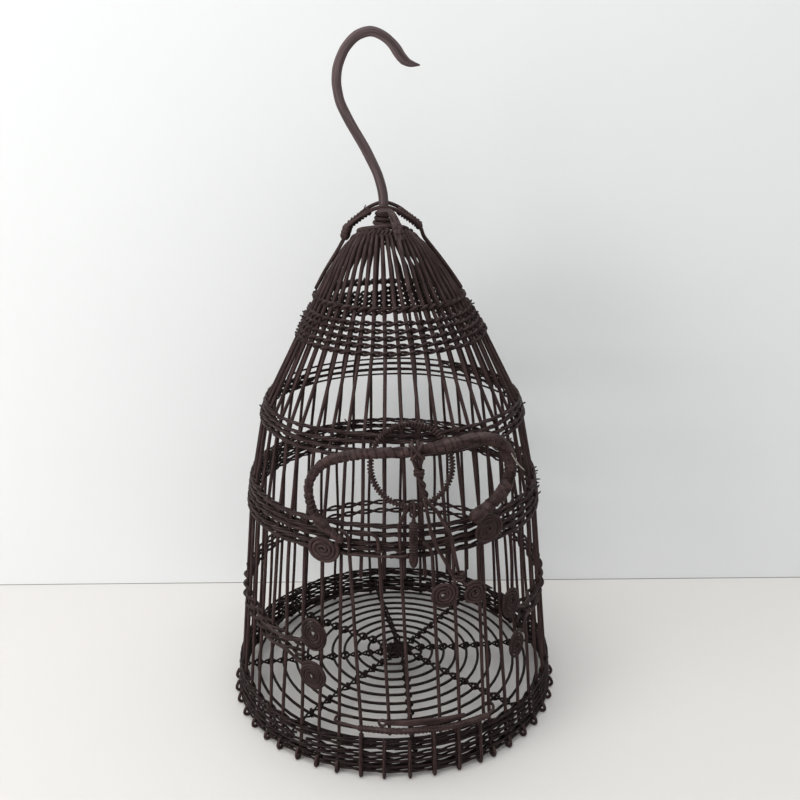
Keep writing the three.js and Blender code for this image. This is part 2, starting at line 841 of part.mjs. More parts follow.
function addPull() {
  const out = outward(ringAzimuth);
  const across = sideways(ringAzimuth);
  const up = new THREE.Vector3(0, 0, 1);
  const linkCentre = roundPoint(ringAzimuth, pullRadius, middleBandHeight + linkRise);
  const turned = (x, y) => new THREE.Matrix4().makeBasis(x, y, x.clone().cross(y));
  const hole = linkRadius - linkThickness / 2;

  const link = addPiece("ring_link", new THREE.TorusGeometry(linkRadius, linkThickness / 2, 5, 14));
  link.quaternion.setFromRotationMatrix(turned(out, up));
  link.position.copy(linkCentre);

  const lean = THREE.MathUtils.degToRad(pullRingLeanDegrees);
  const rise = up.clone().multiplyScalar(Math.cos(lean)).addScaledVector(out, -Math.sin(lean));
  const ring = addPiece(
    "pull_ring",
    new THREE.TorusGeometry(pullRingRadius, pullRingThickness / 2, 6, 28),
  );
  ring.quaternion.setFromRotationMatrix(turned(across, rise));
  ring.position
    .copy(linkCentre)
    .addScaledVector(up, hole - pullRingThickness / 2 - clearance)
    .addScaledVector(rise, pullRingRadius);

  const eye = new THREE.TorusGeometry(pegEyeRadius, pegEyeThickness / 2, 5, 12);
  eye.applyMatrix4(turned(across, up));
  const bodyTop = -pegEyeRadius;
  const pegProfile = [
    [0, 1],
    [0.6, 1],
    [0.95, 0.88],
    [0.9, 0.35],
    [1, 0.22],
    [0.85, 0.08],
    [0, 0],
  ].map(
    ([wide, high]) =>
      new THREE.Vector2((wide * pegThickness) / 2, bodyTop - (1 - high) * pegLength),
  );
  const body = new THREE.LatheGeometry(pegProfile.reverse(), 8);
  body.rotateX(Math.PI / 2);
  const peg = addPiece("door_peg", joined([body, eye]), shadeBrown);
  const hang = hole - pegEyeThickness / 2 - clearance + pegEyeRadius;
  peg.position.copy(linkCentre).addScaledVector(up, -hang);
}

// The latch strap's two strands below the hoop: shares of its angle and of its drop.
const latchLeftShares = [
  [0.01, 0.2],
  [0.19, 0.33],
  [0.3, 0.53],
  [0.45, 0.64],
  [0.69, 0.77],
  [0.88, 0.88],
];
const latchRightShares = [
  [0.13, 0.2],
  [0.33, 0.33],
  [0.59, 0.476],
  [0.75, 0.56],
  [0.87, 0.72],
  [1, 0.885],
  [1.13, 0.93],
];
const latchRosetteShares = { left: [0.69, 1], right: [1.55, 1.01] };

function addLatch() {
  const loopSteps = 9;
  const loopReach =
    (hoopThickness / 2 + clearance + rosetteCaneThickness / 2) / Math.cos(Math.PI / 12);
  const barShares = [hoopShares[7], hoopShares[8]];
  const [before, after] = barShares.map(hoopPoint);
  const azimuthOf = (point) =>
    THREE.MathUtils.radToDeg(Math.atan2(point.x - leanAt(point.z), -point.y));
  const along = (latchAzimuth - azimuthOf(before)) / (azimuthOf(after) - azimuthOf(before));
  const bar = before.clone().lerp(after, along);
  const out = outward(latchAzimuth);
  const across = sideways(latchAzimuth);
  const loop = Array.from({ length: loopSteps + 1 }, (_, step) => {
    const turn = (step / loopSteps) * 1.5 * Math.PI;
    return bar
      .clone()
      .addScaledVector(out, loopReach * Math.cos(turn))
      .add(new THREE.Vector3(0, 0, loopReach * Math.sin(turn)))
      .addScaledVector(across, (step / loopSteps - 0.5) * latchSpread);
  });
  const radius = hoopRadius + loopReach;
  const place = ([share, drop]) =>
    roundPoint(latchAzimuth + share * latchSpanDegrees, radius, bar.z - drop * latchLength);
  const rosette = (shares, form) =>
    rosettePoints({
      centre: place(shares),
      right: sideways(latchAzimuth + shares[0] * latchSpanDegrees),
      ...form,
    });
  const { left, right } = latchRosetteShares;
  const leftRosette = rosette(left, { radius: latchLeftRosette, start: 50, hand: -1 });
  const rightRosette = rosette(right, { radius: latchRightRosette, start: 130, hand: -1 });
  const points = [
    ...leftRosette.reverse(),
    ...latchLeftShares.map(place).reverse(),
    ...loop,
    ...latchRightShares.map(place),
    ...rightRosette,
  ];
  console.log("latch_strap gap", leastGap(points, rosetteCaneThickness, 5).toFixed(2));
  const section = roundSection(rosetteCaneThickness, 5);
  addPiece("latch_strap", cane(points, section, out));
}

addStakePairs();
addRimStubs();
addLowerBand();
[
  {
    name: "rim_weave",
    middle: rimHeight,
    rows: rimRows,
    pitch: rimRowPitch,
    thickness: weaverThickness,
    height: rimRowHeight,
  },
  {
    name: "middle_band",
    middle: middleBandHeight,
    rows: middleRows,
    pitch: middleRowPitch,
    thickness: weaverThickness,
    height: bandRowHeight,
  },
  {
    name: "upper_band",
    middle: upperBandHeight,
    rows: upperRows,
    pitch: upperRowPitch,
    thickness: weaverThickness,
    height: bandRowHeight,
  },
  {
    name: "crown_band",
    middle: crownBandHeight + crownBandLift,
    rows: crownRows,
    pitch: crownRowPitch,
    thickness: fineWeaverThickness,
    height: bandRowHeight,
  },
].forEach(addWeaving);
addArch(addCrownRings());
addHook();
addFloor();
addHoop();
addDoorBars();
addDoorRail();
addKeeper();
addPull();
addLatch();

export default cage;
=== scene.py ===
"""A hand-woven cane bird cage, dressed piece by piece in the order in which it is put together.

The front, with the sliding door, faces -Y. Azimuths are in degrees: 0 is at the front, and they
grow to the right.
"""

import math

import bpy
import numpy as np
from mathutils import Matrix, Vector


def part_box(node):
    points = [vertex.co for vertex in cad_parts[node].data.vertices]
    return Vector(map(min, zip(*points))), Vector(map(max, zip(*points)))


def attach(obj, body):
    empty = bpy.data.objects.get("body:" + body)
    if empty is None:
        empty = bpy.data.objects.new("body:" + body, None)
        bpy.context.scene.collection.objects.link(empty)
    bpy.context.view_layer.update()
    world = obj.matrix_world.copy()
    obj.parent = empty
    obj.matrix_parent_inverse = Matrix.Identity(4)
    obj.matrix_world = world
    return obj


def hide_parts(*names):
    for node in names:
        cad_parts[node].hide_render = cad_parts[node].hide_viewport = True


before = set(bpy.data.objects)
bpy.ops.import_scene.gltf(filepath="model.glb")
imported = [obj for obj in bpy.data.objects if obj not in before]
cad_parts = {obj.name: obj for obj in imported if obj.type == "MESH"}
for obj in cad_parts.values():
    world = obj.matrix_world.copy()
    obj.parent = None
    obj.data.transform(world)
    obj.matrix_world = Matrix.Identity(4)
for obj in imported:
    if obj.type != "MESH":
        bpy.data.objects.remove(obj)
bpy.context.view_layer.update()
mm = 0.001
chance = np.random.default_rng(11)

# The floor is one long cane, coiled round a knotted hub. Eight pairs of thinner canes cross it as
# spokes, twisted over and under the coil and bound to each of its turns. It is painted cane, and
# its brown is the darkest: painted shade, for it lies low inside the cage.
floor_height = 21 * mm
floor_turns = 11
floor_outer = 143.8 * mm
floor_inner = 14.6 * mm
floor_cane_radius = 1.35 * mm
floor_shift = np.array([4.5, 6.5, 0]) * mm
coil_sway = 0.7 * mm
coil_ripple = 0.5 * mm
spoke_radius = 0.95 * mm
spoke_azimuths = np.arange(7.5, 360, 45)
spoke_ends = (145.5 * mm, 8 * mm)
spoke_apart = 1.05 * mm
spoke_bow = 2.5 * mm
spoke_bow_length = 45 * mm
binding_reach = 3.5 * mm
binding_width = 2.6 * mm
binding_radius = 0.62 * mm
hub_radius = 13 * mm
hub_turns = 6
hub_pitch = 1.9 * mm
hub_step = 22.5
hub_drop = 0.5 * mm
hub_weave = 1.3 * mm
hub_cane_radius = 1.05 * mm
hub_spoke_radius = 1 * mm
hub_spoke_sway = 1.2 * mm
hub_spoke_lift = 1.1 * mm
upward = np.array([0, 0, 1.0])


def unit(vectors):
    return vectors / np.linalg.norm(vectors, axis=-1, keepdims=True)


def outward(azimuth):
    turn = np.radians(azimuth)
    return np.stack([np.sin(turn), -np.cos(turn), np.zeros_like(turn)], axis=-1)


def sideways(azimuth):
    turn = np.radians(azimuth)
    return np.stack([np.cos(turn), np.sin(turn), np.zeros_like(turn)], axis=-1)


def round_turn(count):
    """Angles evenly round a full turn, for a closed loop."""
    return np.arange(count) * 2 * np.pi / count


def circle(centre, first, second, turn, reach, other=None):
    """Places round a centre: `reach` off it along `first`, and a quarter turn on, `other` (or else
    `reach`) off it along `second`."""
    other = reach if other is None else other
    ahead = first * (reach * np.cos(turn))[:, None]
    return centre + ahead + second * (other * np.sin(turn))[:, None]


def strand(route, radius, facing, sides=8, flat=1.0, closed=False):
    """One cane along a route: `facing` is its outer side, and `flat` presses it that way."""
    route = np.asarray(route, float)
    count = len(route)
    radius = np.asarray(radius, float)
    radius = radius if radius.ndim == 2 else np.broadcast_to(radius.reshape(-1, 1), (count, sides))
    way = np.roll(route, -1, 0) - np.roll(route, 1, 0) if closed else np.gradient(route, axis=0)
    way = unit(way)
    out = np.broadcast_to(facing, route.shape)
    out = unit(out - (out * way).sum(1, keepdims=True) * way)
    side = np.cross(way, out)
    if not closed:
        nose = np.array([[0.85], [0.5]]) * flat
        first = route[0] - way[0] * radius[0].mean() * nose
        last = route[-1] + way[-1] * radius[-1].mean() * nose[::-1]
        route = np.vstack([first, route, last])
        taper = np.array([[1 - 0.5 * flat], [1 - 0.15 * flat]])
        radius = np.vstack([radius[0] * taper, radius, radius[-1] * taper[::-1]])
        out = np.pad(out, ((2, 2), (0, 0)), "edge")
        side = np.pad(side, ((2, 2), (0, 0)), "edge")
        count += 4
    turn = np.pi + round_turn(sides)
    spread = np.cos(turn)[None, :, None] * out[:, None, :] * flat
    spread = spread + np.sin(turn)[None, :, None] * side[:, None, :]
    corners = (route[:, None, :] + radius[:, :, None] * spread).reshape(-1, 3)
    rings = count if closed else count - 1
    ring, edge = np.meshgrid(np.arange(rings), np.arange(sides), indexing="ij")
    above = (ring + 1) % count
    beside = (edge + 1) % sides
    quads = np.stack(
        [ring * sides + edge, ring * sides + beside, above * sides + beside, above * sides + edge],
        axis=-1,
    ).reshape(-1, 4)
    steps = np.linalg.norm(np.diff(route, axis=0, append=route[:1]), axis=1)
    reach = chance.uniform(0, 40) + np.concatenate([[0], np.cumsum(steps)])
    across = np.stack([edge, edge + 1, edge + 1, edge], axis=-1) / sides
    along = np.stack([reach[ring], reach[ring], reach[ring + 1], reach[ring + 1]], axis=-1)
    places = np.stack([across, along], axis=-1).reshape(-1, 2)
    caps = []
    if not closed:
        caps = [list(range(sides))[::-1], list(range((count - 1) * sides, count * sides))]
        capped = np.tile([0.5, reach[0]], (2 * sides, 1))
        places = np.vstack([places, capped])
    return corners, quads, caps, places


def add_piece(name, strands, finish, body, slot, *nodes):
    """One object of many strands that rides on a body and stands for its CAD nodes."""
    corners, faces, places = [], [], []
    total = 0
    for points, quads, caps, place in strands:
        corners.append(points)
        faces += (quads + total).tolist()
        faces += [[corner + total for corner in cap] for cap in caps]
        places.append(place)
        total += len(points)
    mesh = bpy.data.meshes.new(name)
    mesh.from_pydata(np.vstack(corners).tolist(), [], faces)
    layer = mesh.uv_layers.new(name="cane")
    layer.data.foreach_set("uv", np.vstack(places).astype(np.float32).ravel())
    mesh.polygons.foreach_set("use_smooth", [True] * len(mesh.polygons))
    mesh.materials.append(finish)
    mesh.update()
    piece = bpy.data.objects.new(name, mesh)
    bpy.context.scene.collection.objects.link(piece)
    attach(piece, body)
    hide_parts(*nodes)
    return piece


def new_group(name, inputs, outputs):
    """An empty shader group with named sockets: (name, socket type, starting value)."""
    group = bpy.data.node_groups.new(name, "ShaderNodeTree")
    for label, kind, value in inputs:
        socket = group.interface.new_socket(label, in_out="INPUT", socket_type=kind)
        socket.default_value = value
    for label, kind in outputs:
        group.interface.new_socket(label, in_out="OUTPUT", socket_type=kind)
    return group, group.nodes.new("NodeGroupInput"), group.nodes.new("NodeGroupOutput")


def add_node(tree, kind, inputs, **settings):
    """A shader node with its inputs linked to sockets or set to values, and its settings made."""
    node = tree.nodes.new(kind)
    for label, value in settings.items():
        setattr(node, label, value)
    for place, value in inputs.items():
        if isinstance(value, bpy.types.NodeSocket):
            tree.links.new(value, node.inputs[place])
        else:
            node.inputs[place].default_value = value
    return node


def noise_of(tree, vector, scale, detail=3.0, roughness=0.55):
    inputs = {"Vector": vector, "Scale": scale, "Detail": detail, "Roughness": roughness}
    return add_node(tree, "ShaderNodeTexNoise", inputs).outputs["Fac"]


def ranged(tree, value, low, high, to_low=0.0, to_high=1.0):
    inputs = dict(enumerate((value, low, high, to_low, to_high)))
    node = add_node(tree, "ShaderNodeMapRange", inputs, interpolation_type="SMOOTHSTEP")
    return node.outputs[0]


def computed(tree, operation, first, second):
    return add_node(tree, "ShaderNodeMath", {0: first, 1: second}, operation=operation).outputs[0]


def mixed(tree, share, first, second):
    inputs = {"Factor": share, 6: first, 7: second}
    return add_node(tree, "ShaderNodeMix", inputs, data_type="RGBA").outputs[2]


def make_fibre_group():
    """Fine grooves that run along a cane, and knots and dents across it."""
    group, given, result = new_group(
        "cane_fibre",
        [("Grooves", "NodeSocketFloat", 9.0), ("Run", "NodeSocketFloat", 55.0)],
        [("Grooves", "NodeSocketFloat"), ("Dents", "NodeSocketFloat")],
    )
    places = group.nodes.new("ShaderNodeTexCoord").outputs["UV"]
    parts = add_node(group, "ShaderNodeSeparateXYZ", {0: places}).outputs
    noises = []
    for across, run, detail, roughness in (
        (given.outputs["Grooves"], given.outputs["Run"], 4.0, 0.65),
        (1.5, 240.0, 2.0, 0.55),
    ):
        around = computed(group, "MULTIPLY", parts["X"], across)
        along = computed(group, "MULTIPLY", parts["Y"], run)
        stretched = add_node(group, "ShaderNodeCombineXYZ", {"X": around, "Y": along})
        noises.append(noise_of(group, stretched.outputs[0], 1.0, detail, roughness))
    group.links.new(ranged(group, noises[0], 0.3, 0.7), result.inputs["Grooves"])
    group.links.new(ranged(group, noises[1], 0.35, 0.75), result.inputs["Dents"])
    return group


def make_dust_and_top_light_group():
    """Pale dust in drifts on faces turned up, which also lightens the tops: painted light from
    above.
    """
    group, given, result = new_group(
        "settled_dust_and_top_light",
        [("Amount", "NodeSocketFloat", 0.3)],
        [("Mask", "NodeSocketFloat")],
    )
    normal = group.nodes.new("ShaderNodeNewGeometry").outputs["Normal"]
    parts = add_node(group, "ShaderNodeSeparateXYZ", {0: normal})
    places = group.nodes.new("ShaderNodeTexCoord")
    drift = noise_of(group, places.outputs["Object"], 90.0, detail=4.0, roughness=0.6)
    turned_up = ranged(group, parts.outputs["Z"], 0.1, 0.95)
    patches = ranged(group, drift, 0.35, 0.7)
    dust_and_top_light = computed(group, "MULTIPLY", turned_up, patches)
    dust_and_top_light = computed(group, "MULTIPLY", dust_and_top_light, given.outputs["Amount"])
    group.links.new(dust_and_top_light, result.inputs["Mask"])
    return group


def make_wear_group():
    """Cloudy brushwork, and small places where the paint has rubbed thin over the high fibres."""
    group, given, result = new_group(
        "brushed_paint",
        [("Wear", "NodeSocketFloat", 0.3), ("Grooves", "NodeSocketFloat", 0.5)],
        [("Cloud", "NodeSocketFloat"), ("Rubbed", "NodeSocketFloat")],
    )
    places = group.nodes.new("ShaderNodeTexCoord").outputs["Object"]
    cloud = noise_of(group, places, 38.0)
    patches = noise_of(group, places, 120.0, detail=5.0, roughness=0.7)
    rubbed = ranged(group, patches, 0.56, 0.72)
    rubbed = computed(group, "MULTIPLY", rubbed, given.outputs["Grooves"])
    rubbed = computed(group, "MULTIPLY", rubbed, given.outputs["Wear"])
    group.links.new(ranged(group, cloud, 0.3, 0.7), result.inputs["Cloud"])
    group.links.new(rubbed, result.inputs["Rubbed"])
    return group


fibre_group = make_fibre_group()
dust_and_top_light_group = make_dust_and_top_light_group()
wear_group = make_wear_group()
# Pale tone for dust on faces turned up, which also stands for painted light on the tops.
dust_and_top_light_tone = (0.17, 0.135, 0.13, 1)
paint_gloss = 0.07


def painted_cane(
    name, deep, light, rubbed, grooves=9.0, run=55.0, wear=0.4, dust_and_top_light=0.25, relief=0.12
):
    """Brown paint over cane: `deep` in the grooves, `light` on the ridges, `rubbed` where worn."""
    material = bpy.data.materials.new(name)
    material.use_nodes = True
    tree = material.node_tree
    shader = tree.nodes["Principled BSDF"]
    inputs = {"Grooves": grooves, "Run": run}
    fibre = add_node(tree, "ShaderNodeGroup", inputs, node_tree=fibre_group).outputs
    inputs = {"Wear": wear, "Grooves": fibre["Grooves"]}
    paint = add_node(tree, "ShaderNodeGroup", inputs, node_tree=wear_group).outputs
    dusted_and_lit = add_node(tree, "ShaderNodeGroup", {"Amount": dust_and_top_light}, node_tree=dust_and_top_light_group)
    dark = tuple(0.72 * value for value in deep)
    ground = mixed(tree, paint["Cloud"], (*dark, 1), (*deep, 1))
    tone = mixed(tree, fibre["Grooves"], ground, (*light, 1))
    tone = mixed(tree, paint["Rubbed"], tone, (*rubbed, 1))
    # Dust on up-turned faces lightens the tops: partly dust, partly painted light from above.
    tone = mixed(tree, dusted_and_lit.outputs["Mask"], tone, dust_and_top_light_tone)
    tree.links.new(tone, shader.inputs["Base Color"])
    roughness = ranged(tree, paint["Cloud"], 0, 1, 0.46, 0.64)
    tree.links.new(roughness, shader.inputs["Roughness"])
    shader.inputs["Specular IOR Level"].default_value = paint_gloss
    height = computed(tree, "MULTIPLY", fibre["Dents"], 0.5)
    height = computed(tree, "ADD", fibre["Grooves"], height)
    inputs = {"Strength": 0.55, "Distance": relief * mm, "Height": height}
    bump = add_node(tree, "ShaderNodeBump", inputs)
    tree.links.new(bump.outputs["Normal"], shader.inputs["Normal"])
    return material


# The floor's paint is the darkest brown: painted shade, as the floor lies inside the cage.
floor_shaded_finish = painted_cane(
    "floor_cane_paint_shaded",
    deep=(0.0067, 0.0043, 0.0043),
    light=(0.0235, 0.0146, 0.014),
    rubbed=(0.05, 0.032, 0.027),
    dust_and_top_light=0.08,
)


def off_centre(points):
    """The coil was begun a little behind and to the right of the middle."""
    shift = 1 - np.hypot(points[..., 0], points[..., 1]) / floor_outer
    return points + np.clip(shift, 0, 1)[..., None] * floor_shift


def make_floor():
    turns = np.arange(floor_turns * 64 + 1) / 64
    ring_pitch = (floor_outer - floor_inner) / floor_turns
    sway = coil_sway * np.sin(2.3 * turns * np.pi + 1) * np.sin(0.9 * turns)
    azimuth = turns * 360
    coil = outward(azimuth) * (floor_outer - turns * ring_pitch + sway)[:, None]
    coil[:, 2] = floor_height + coil_ripple * np.sin(azimuth / 45 * np.pi + 1)
    canes = [strand(off_centre(coil), floor_cane_radius, upward)]
    stand = floor_cane_radius + spoke_radius
    for spoke in spoke_azimuths:
        reach = np.linspace(*spoke_ends, 170)
        crossing = np.pi * ((floor_outer - reach) / ring_pitch - spoke / 360)
        bow = spoke_bow * np.sin(reach / spoke_bow_length + spoke)
        for half in (0, np.pi):
            across = bow + spoke_apart * np.sin(crossing + half)
            route = outward(spoke) * reach[:, None] + sideways(spoke) * across[:, None]
            route[:, 2] = floor_height + stand * np.cos(crossing + half)
            canes.append(strand(off_centre(route), spoke_radius, sideways(spoke)))
        for ring in range(floor_turns):
            at = floor_outer - (ring + spoke / 360) * ring_pitch
            centre = outward(spoke) * at + sideways(spoke) * bow[np.argmin(abs(reach - at))]
            centre[2] = floor_height
            canes.append(binding(off_centre(centre), spoke))
    return canes


def binding(centre, spoke):
    """Two turns of thin cane that bind a ring of the floor to a spoke."""
    turn = np.linspace(0, 4 * np.pi, 26)
    size = binding_reach * (1 + chance.uniform(-0.1, 0.15))
    slant = chance.uniform(0.3, 0.9)
    lie = outward(spoke) * math.cos(slant) + sideways(spoke) * math.sin(slant)
    along = sideways(spoke) * math.cos(slant) - outward(spoke) * math.sin(slant)
    route = circle(centre, lie, upward, turn, size, 0.95 * size)
    route = route + along * ((turn / (4 * np.pi) - 0.5) * binding_width)[:, None]
    return strand(route, binding_radius, along, sides=6)


def make_hub():
    turns = np.arange(hub_turns * 48 + 1) / 48
    azimuth = turns * 360
    route = outward(azimuth) * (hub_radius - turns * hub_pitch)[:, None]
    weave = np.cos(azimuth / hub_step * np.pi + turns.astype(int) * np.pi)
    route[:, 2] = floor_height - hub_drop + hub_weave * weave
    canes = [strand(off_centre(route), hub_cane_radius, upward)]
    for spoke in np.arange(0, 180, hub_step):
        reach = np.linspace(-hub_radius, hub_radius, 30)
        across = hub_spoke_sway * np.sin(reach / (5 * mm) + spoke)
        route = outward(spoke) * reach[:, None] + sideways(spoke) * across[:, None]
        route[:, 2] = floor_height + hub_spoke_lift * np.cos(reach / (3.1 * mm) + spoke)
        canes.append(strand(off_centre(route), hub_spoke_radius, sideways(spoke)))
    return canes


add_piece("coiled_floor", make_floor(), floor_shaded_finish, "cage", "floor_cane", "floor_coil")
add_piece("floor_hub_knot", make_hub(), floor_shaded_finish, "cage", "floor_cane", "floor_spokes")

# Forty-eight round canes are the stakes. Neighbours join over the throat, and the six over the door
# are cut off under the middle band. Each foot bends out and back up as a small loop, and hand
# weaving leaves the canes a little out of true.
stake_count = 48
stake_pitch = 360 / stake_count
stake_radius = 1.5 * mm
stake_foot = 5 * mm
stake_top = 441.6 * mm
cut_foot = 180 * mm
wall_heights = np.array([-20, 0, 210, 286, 355, 418, 430, 437, 442, 446]) * mm
wall_radii = np.array([153.5, 151.5, 130.5, 115.5, 80.5, 43.4, 35.6, 29.2, 23, 16]) * mm
wall_softness = 9 * mm
lean_heights = np.array([355, 441]) * mm
crown_lean = 6 * mm
tip_foot = 400 * mm
tip_length = 38 * mm
crown_tilt = math.tan(math.radians(15))
crown_roll = math.tan(math.radians(1.5))
crown_sag = 5 * mm
tail_stand = 5.7 * mm
tail_tuck = 1.7 * mm
over_rise = 1.2 * mm
over_radius = 1.4 * mm
first_cut, last_cut = -2, 3
jamb_and_stub_shifts = [0, 0.9, 0, 0.9, 1.8, 2, 2, 0]
stub_shift_height = 110 * mm
sway_phase = chance.uniform(0, 2 * np.pi, (2, stake_count))
sway_reach = chance.uniform(0.15, 0.55, (2, stake_count))
sway_length = chance.uniform(0.1, 0.26, stake_count)


def wall_radius(height):
    """Radius of the stakes' centres at a height, eased at the bands."""
    height = np.asarray(height)[..., None]
    softness = wall_softness * np.interp(height, [395 * mm, 425 * mm], [1, 0.25])
    spread = height + softness * np.linspace(-1, 1, 7)
    return np.interp(spread, wall_heights, wall_radii).mean(-1)


def lean_at(height):
    """The crown leans to the left."""
    return np.interp(height, lean_heights, [0, -crown_lean])


def tipped(points):
    """The throat is out of level: it tips back, and down to the left."""
    share = np.clip((points[:, 2] - tip_foot) / tip_length, 0, 1)
    fall = crown_roll * (points[:, 0] + crown_lean) - crown_tilt * points[:, 1] - crown_sag
    points = points.copy()
    points[:, 2] += fall * share
    return points


def round_point(azimuth, radius, height):
    point = outward(azimuth) * np.asarray(radius)[..., None]
    point = point + np.zeros((*np.shape(height), 3))
    point[..., 0] += lean_at(height)
    point[..., 2] = height
    return point


def wall_point(azimuth, height, stand=0.0):
    """A point that stands off the stakes' centres, square to the wall."""
    slope = (wall_radius(height + mm) - wall_radius(height - mm)) / (2 * mm)
    length = np.hypot(1, slope)
    radius = wall_radius(height) + stand / length
    return round_point(azimuth, radius, height - stand * slope / length)


def stake_sway(stake, height):
    """How far a stake is out of true at a height, in degrees. The door's jambs are straight, and
    the stubs between them stand a little to the right."""
    stake = np.asarray(stake) % stake_count
    wave = np.sin(height / sway_length[stake] * 2 * np.pi + sway_phase[0, stake])
    free = (stake != last_cut + 1) & (stake != (first_cut - 1) % stake_count)
    steady = sway_reach[0, stake] * np.sin(sway_phase[1, stake])
    half = stake_count // 2
    counts = np.arange(first_cut - 1, last_cut + 2)
    shift = np.interp((stake + half) % stake_count - half, counts, jamb_and_stub_shifts)
    fade = np.clip(1 - height / stub_shift_height, 0, 1)
    return free * (steady + sway_reach[1, stake] * wave) + shift * fade


def stake_azimuth(stake, height):
    """Azimuth at a whole or part-way count of stakes from the front to the right."""
    low = np.floor(stake).astype(int)
    share = stake - low
    sway = (1 - share) * stake_sway(low, height) + share * stake_sway(low + 1, height)
    return (stake + 0.5) * stake_pitch + sway


def foot_loop(azimuth, tail, tuck=0.0):
    """From the end of the tail, outside, down and round to the stake. `tuck` pulls the end in."""
    bend = tail_stand / 2
    low = stake_radius + bend
    turn = np.linspace(0, np.pi, 11)
    foot = wall_radius(low)
    loop = round_point(azimuth, foot + bend + bend * np.cos(turn), low - bend * np.sin(turn))
    rise = np.linspace(tail, low, 6)[:-1]
    inward = tuck * np.linspace(1, 0, 6)[:-1] ** 1.5
    return np.vstack([wall_point(azimuth, rise, tail_stand - inward), loop])


def stake_route(stake, low, high):
    heights = np.linspace(low, high, max(3, int((high - low) / (4.5 * mm))))
    return wall_point(stake_azimuth(np.full(len(heights), stake), heights), heights)


def stake_sizes(route):
    """Canes are a little fuller towards the crown."""
    heights = np.array([340, 390, 430, 442]) * mm
    return stake_radius * np.interp(route[:, 2], heights, [1.02, 1.18, 1.14, 0.92])


stake_finish = painted_cane(
    "stake_paint",
    deep=(0.0158, 0.0089, 0.0089),
    light=(0.0610, 0.0364, 0.0350),
    rubbed=(0.095, 0.06, 0.05),
)

for pair in range(stake_count // 2):
    canes = []
    ends = []
    first = 2 * pair - stake_count // 2
    for stake in (first, first + 1):
        is_cut = first_cut <= stake <= last_cut
        low = cut_foot if is_cut else stake_foot
        azimuth = float(stake_azimuth(np.array(stake), low))
        route = stake_route(stake, low, stake_top)
        if not is_cut:
            tail = chance.uniform(8.5, 11) * mm
            route = np.vstack([foot_loop(azimuth, tail, tuck=tail_tuck), route[1:]])
        route = tipped(route)
        canes.append(strand(route, stake_sizes(route), sideways(azimuth)))
        ends.append(route[-1])
    over = np.linspace(ends[0], ends[1], 9)
    over[:, 2] += over_rise * np.sin(np.linspace(0, np.pi, 9))
    canes.append(strand(over, over_radius, outward((first + 1) * stake_pitch)))
    number = f"{pair + 1:02d}"
    node = f"stake_pair_{number}"
    add_piece(f"stake_canes_{number}", canes, stake_finish, "cage", "stake_cane", node)

# Under the door the stakes are cut short above the rim. Their tails come up outside the weaving and
# show in front of it as a row of pegs.
stub_heights = np.array([41.5, 37, 36, 42, 42, 41]) * mm
stub_drop = 4 * mm

for stake, top in zip(range(first_cut, last_cut + 1), stub_heights):
    azimuth = float(stake_azimuth(np.array(stake), stake_foot))
    inner = wall_point(azimuth, np.linspace(stake_foot, top - stub_drop, 8))
    route = np.vstack([foot_loop(azimuth, top), inner[1:]])
    number = stake - first_cut + 1
    stub = [strand(route, stake_radius, sideways(azimuth))]
    node = f"rim_stub_{number}"
    add_piece(f"stub_cane_{number}", stub, stake_finish, "cage", "stake_cane", node)

# Rows of thin round cane bind the stakes: waling of three canes at the rim and the two wide bands,
# plain doubled rows at the back of the upper one, and twining of two canes at the crown. The rows
# wander, and loose ends poke out here and there.
weave_gap = 0.1 * mm
wale_share = 0.31
weaver_finish = painted_cane(
    "weaver_paint",
    deep=(0.012, 0.0069, 0.0069),
    light=(0.0437, 0.0263, 0.0255),
    rubbed=(0.085, 0.053, 0.044),
    grooves=7.0,
    wear=0.55,
)


def wander(stakes, phase, slack):
    """How far a row of weaving strays from its level."""
    return slack * mm * np.sin(stakes * 0.43 + phase[0]) * np.sin(stakes * 0.17 + phase[1])


def twined(start, end, heights, radius, lift=0.8, slack=0.35):
    """Two canes twisted about each stake from one count of stakes to another."""
    stakes = np.arange(start, end, 1 / 8)
    share = (stakes - start) / (end - start)
    level = np.interp(share, np.linspace(0, 1, len(heights)), heights)
    phase = chance.uniform(0, 2 * np.pi, 4)
    level = level + wander(stakes, phase, slack)
    azimuth = stake_azimuth(stakes, level)
    canes = []
    for half in (0, 1):
        twist = np.pi * (stakes + half)
        size = radius * (1 + 0.09 * np.sin(stakes * 1.37 + phase[2 + half]))
        stand = (stake_radius + size + weave_gap) * np.cos(twist)
        route = wall_point(azimuth, level + lift * size * np.sin(twist), stand)
        canes.append(strand(route, size, outward(azimuth)))
    return canes


def waled(start, end, level, radius, climb, slack):
    """Three canes, each before two stakes and then behind one, that climb over one another."""
    stakes = np.arange(start, end, 1 / 6)
    phase = chance.uniform(0, 2 * np.pi, 5)
    level = level + wander(stakes, phase, slack)
    azimuth = stake_azimuth(stakes, level)
    canes = []
    for cane in range(3):
        twist = (stakes + cane - 0.5) * 2 * np.pi / 3
        size = radius * (1 + 0.07 * np.sin(stakes * 1.37 + phase[2 + cane]))
        swing = np.cos(twist) + wale_share * (1 - np.cos(2 * twist))
        stand = (stake_radius + size + weave_gap) * swing
        route = wall_point(azimuth, level + climb * size * np.sin(twist), stand)
        canes.append(strand(route, size, outward(azimuth)))
    return canes


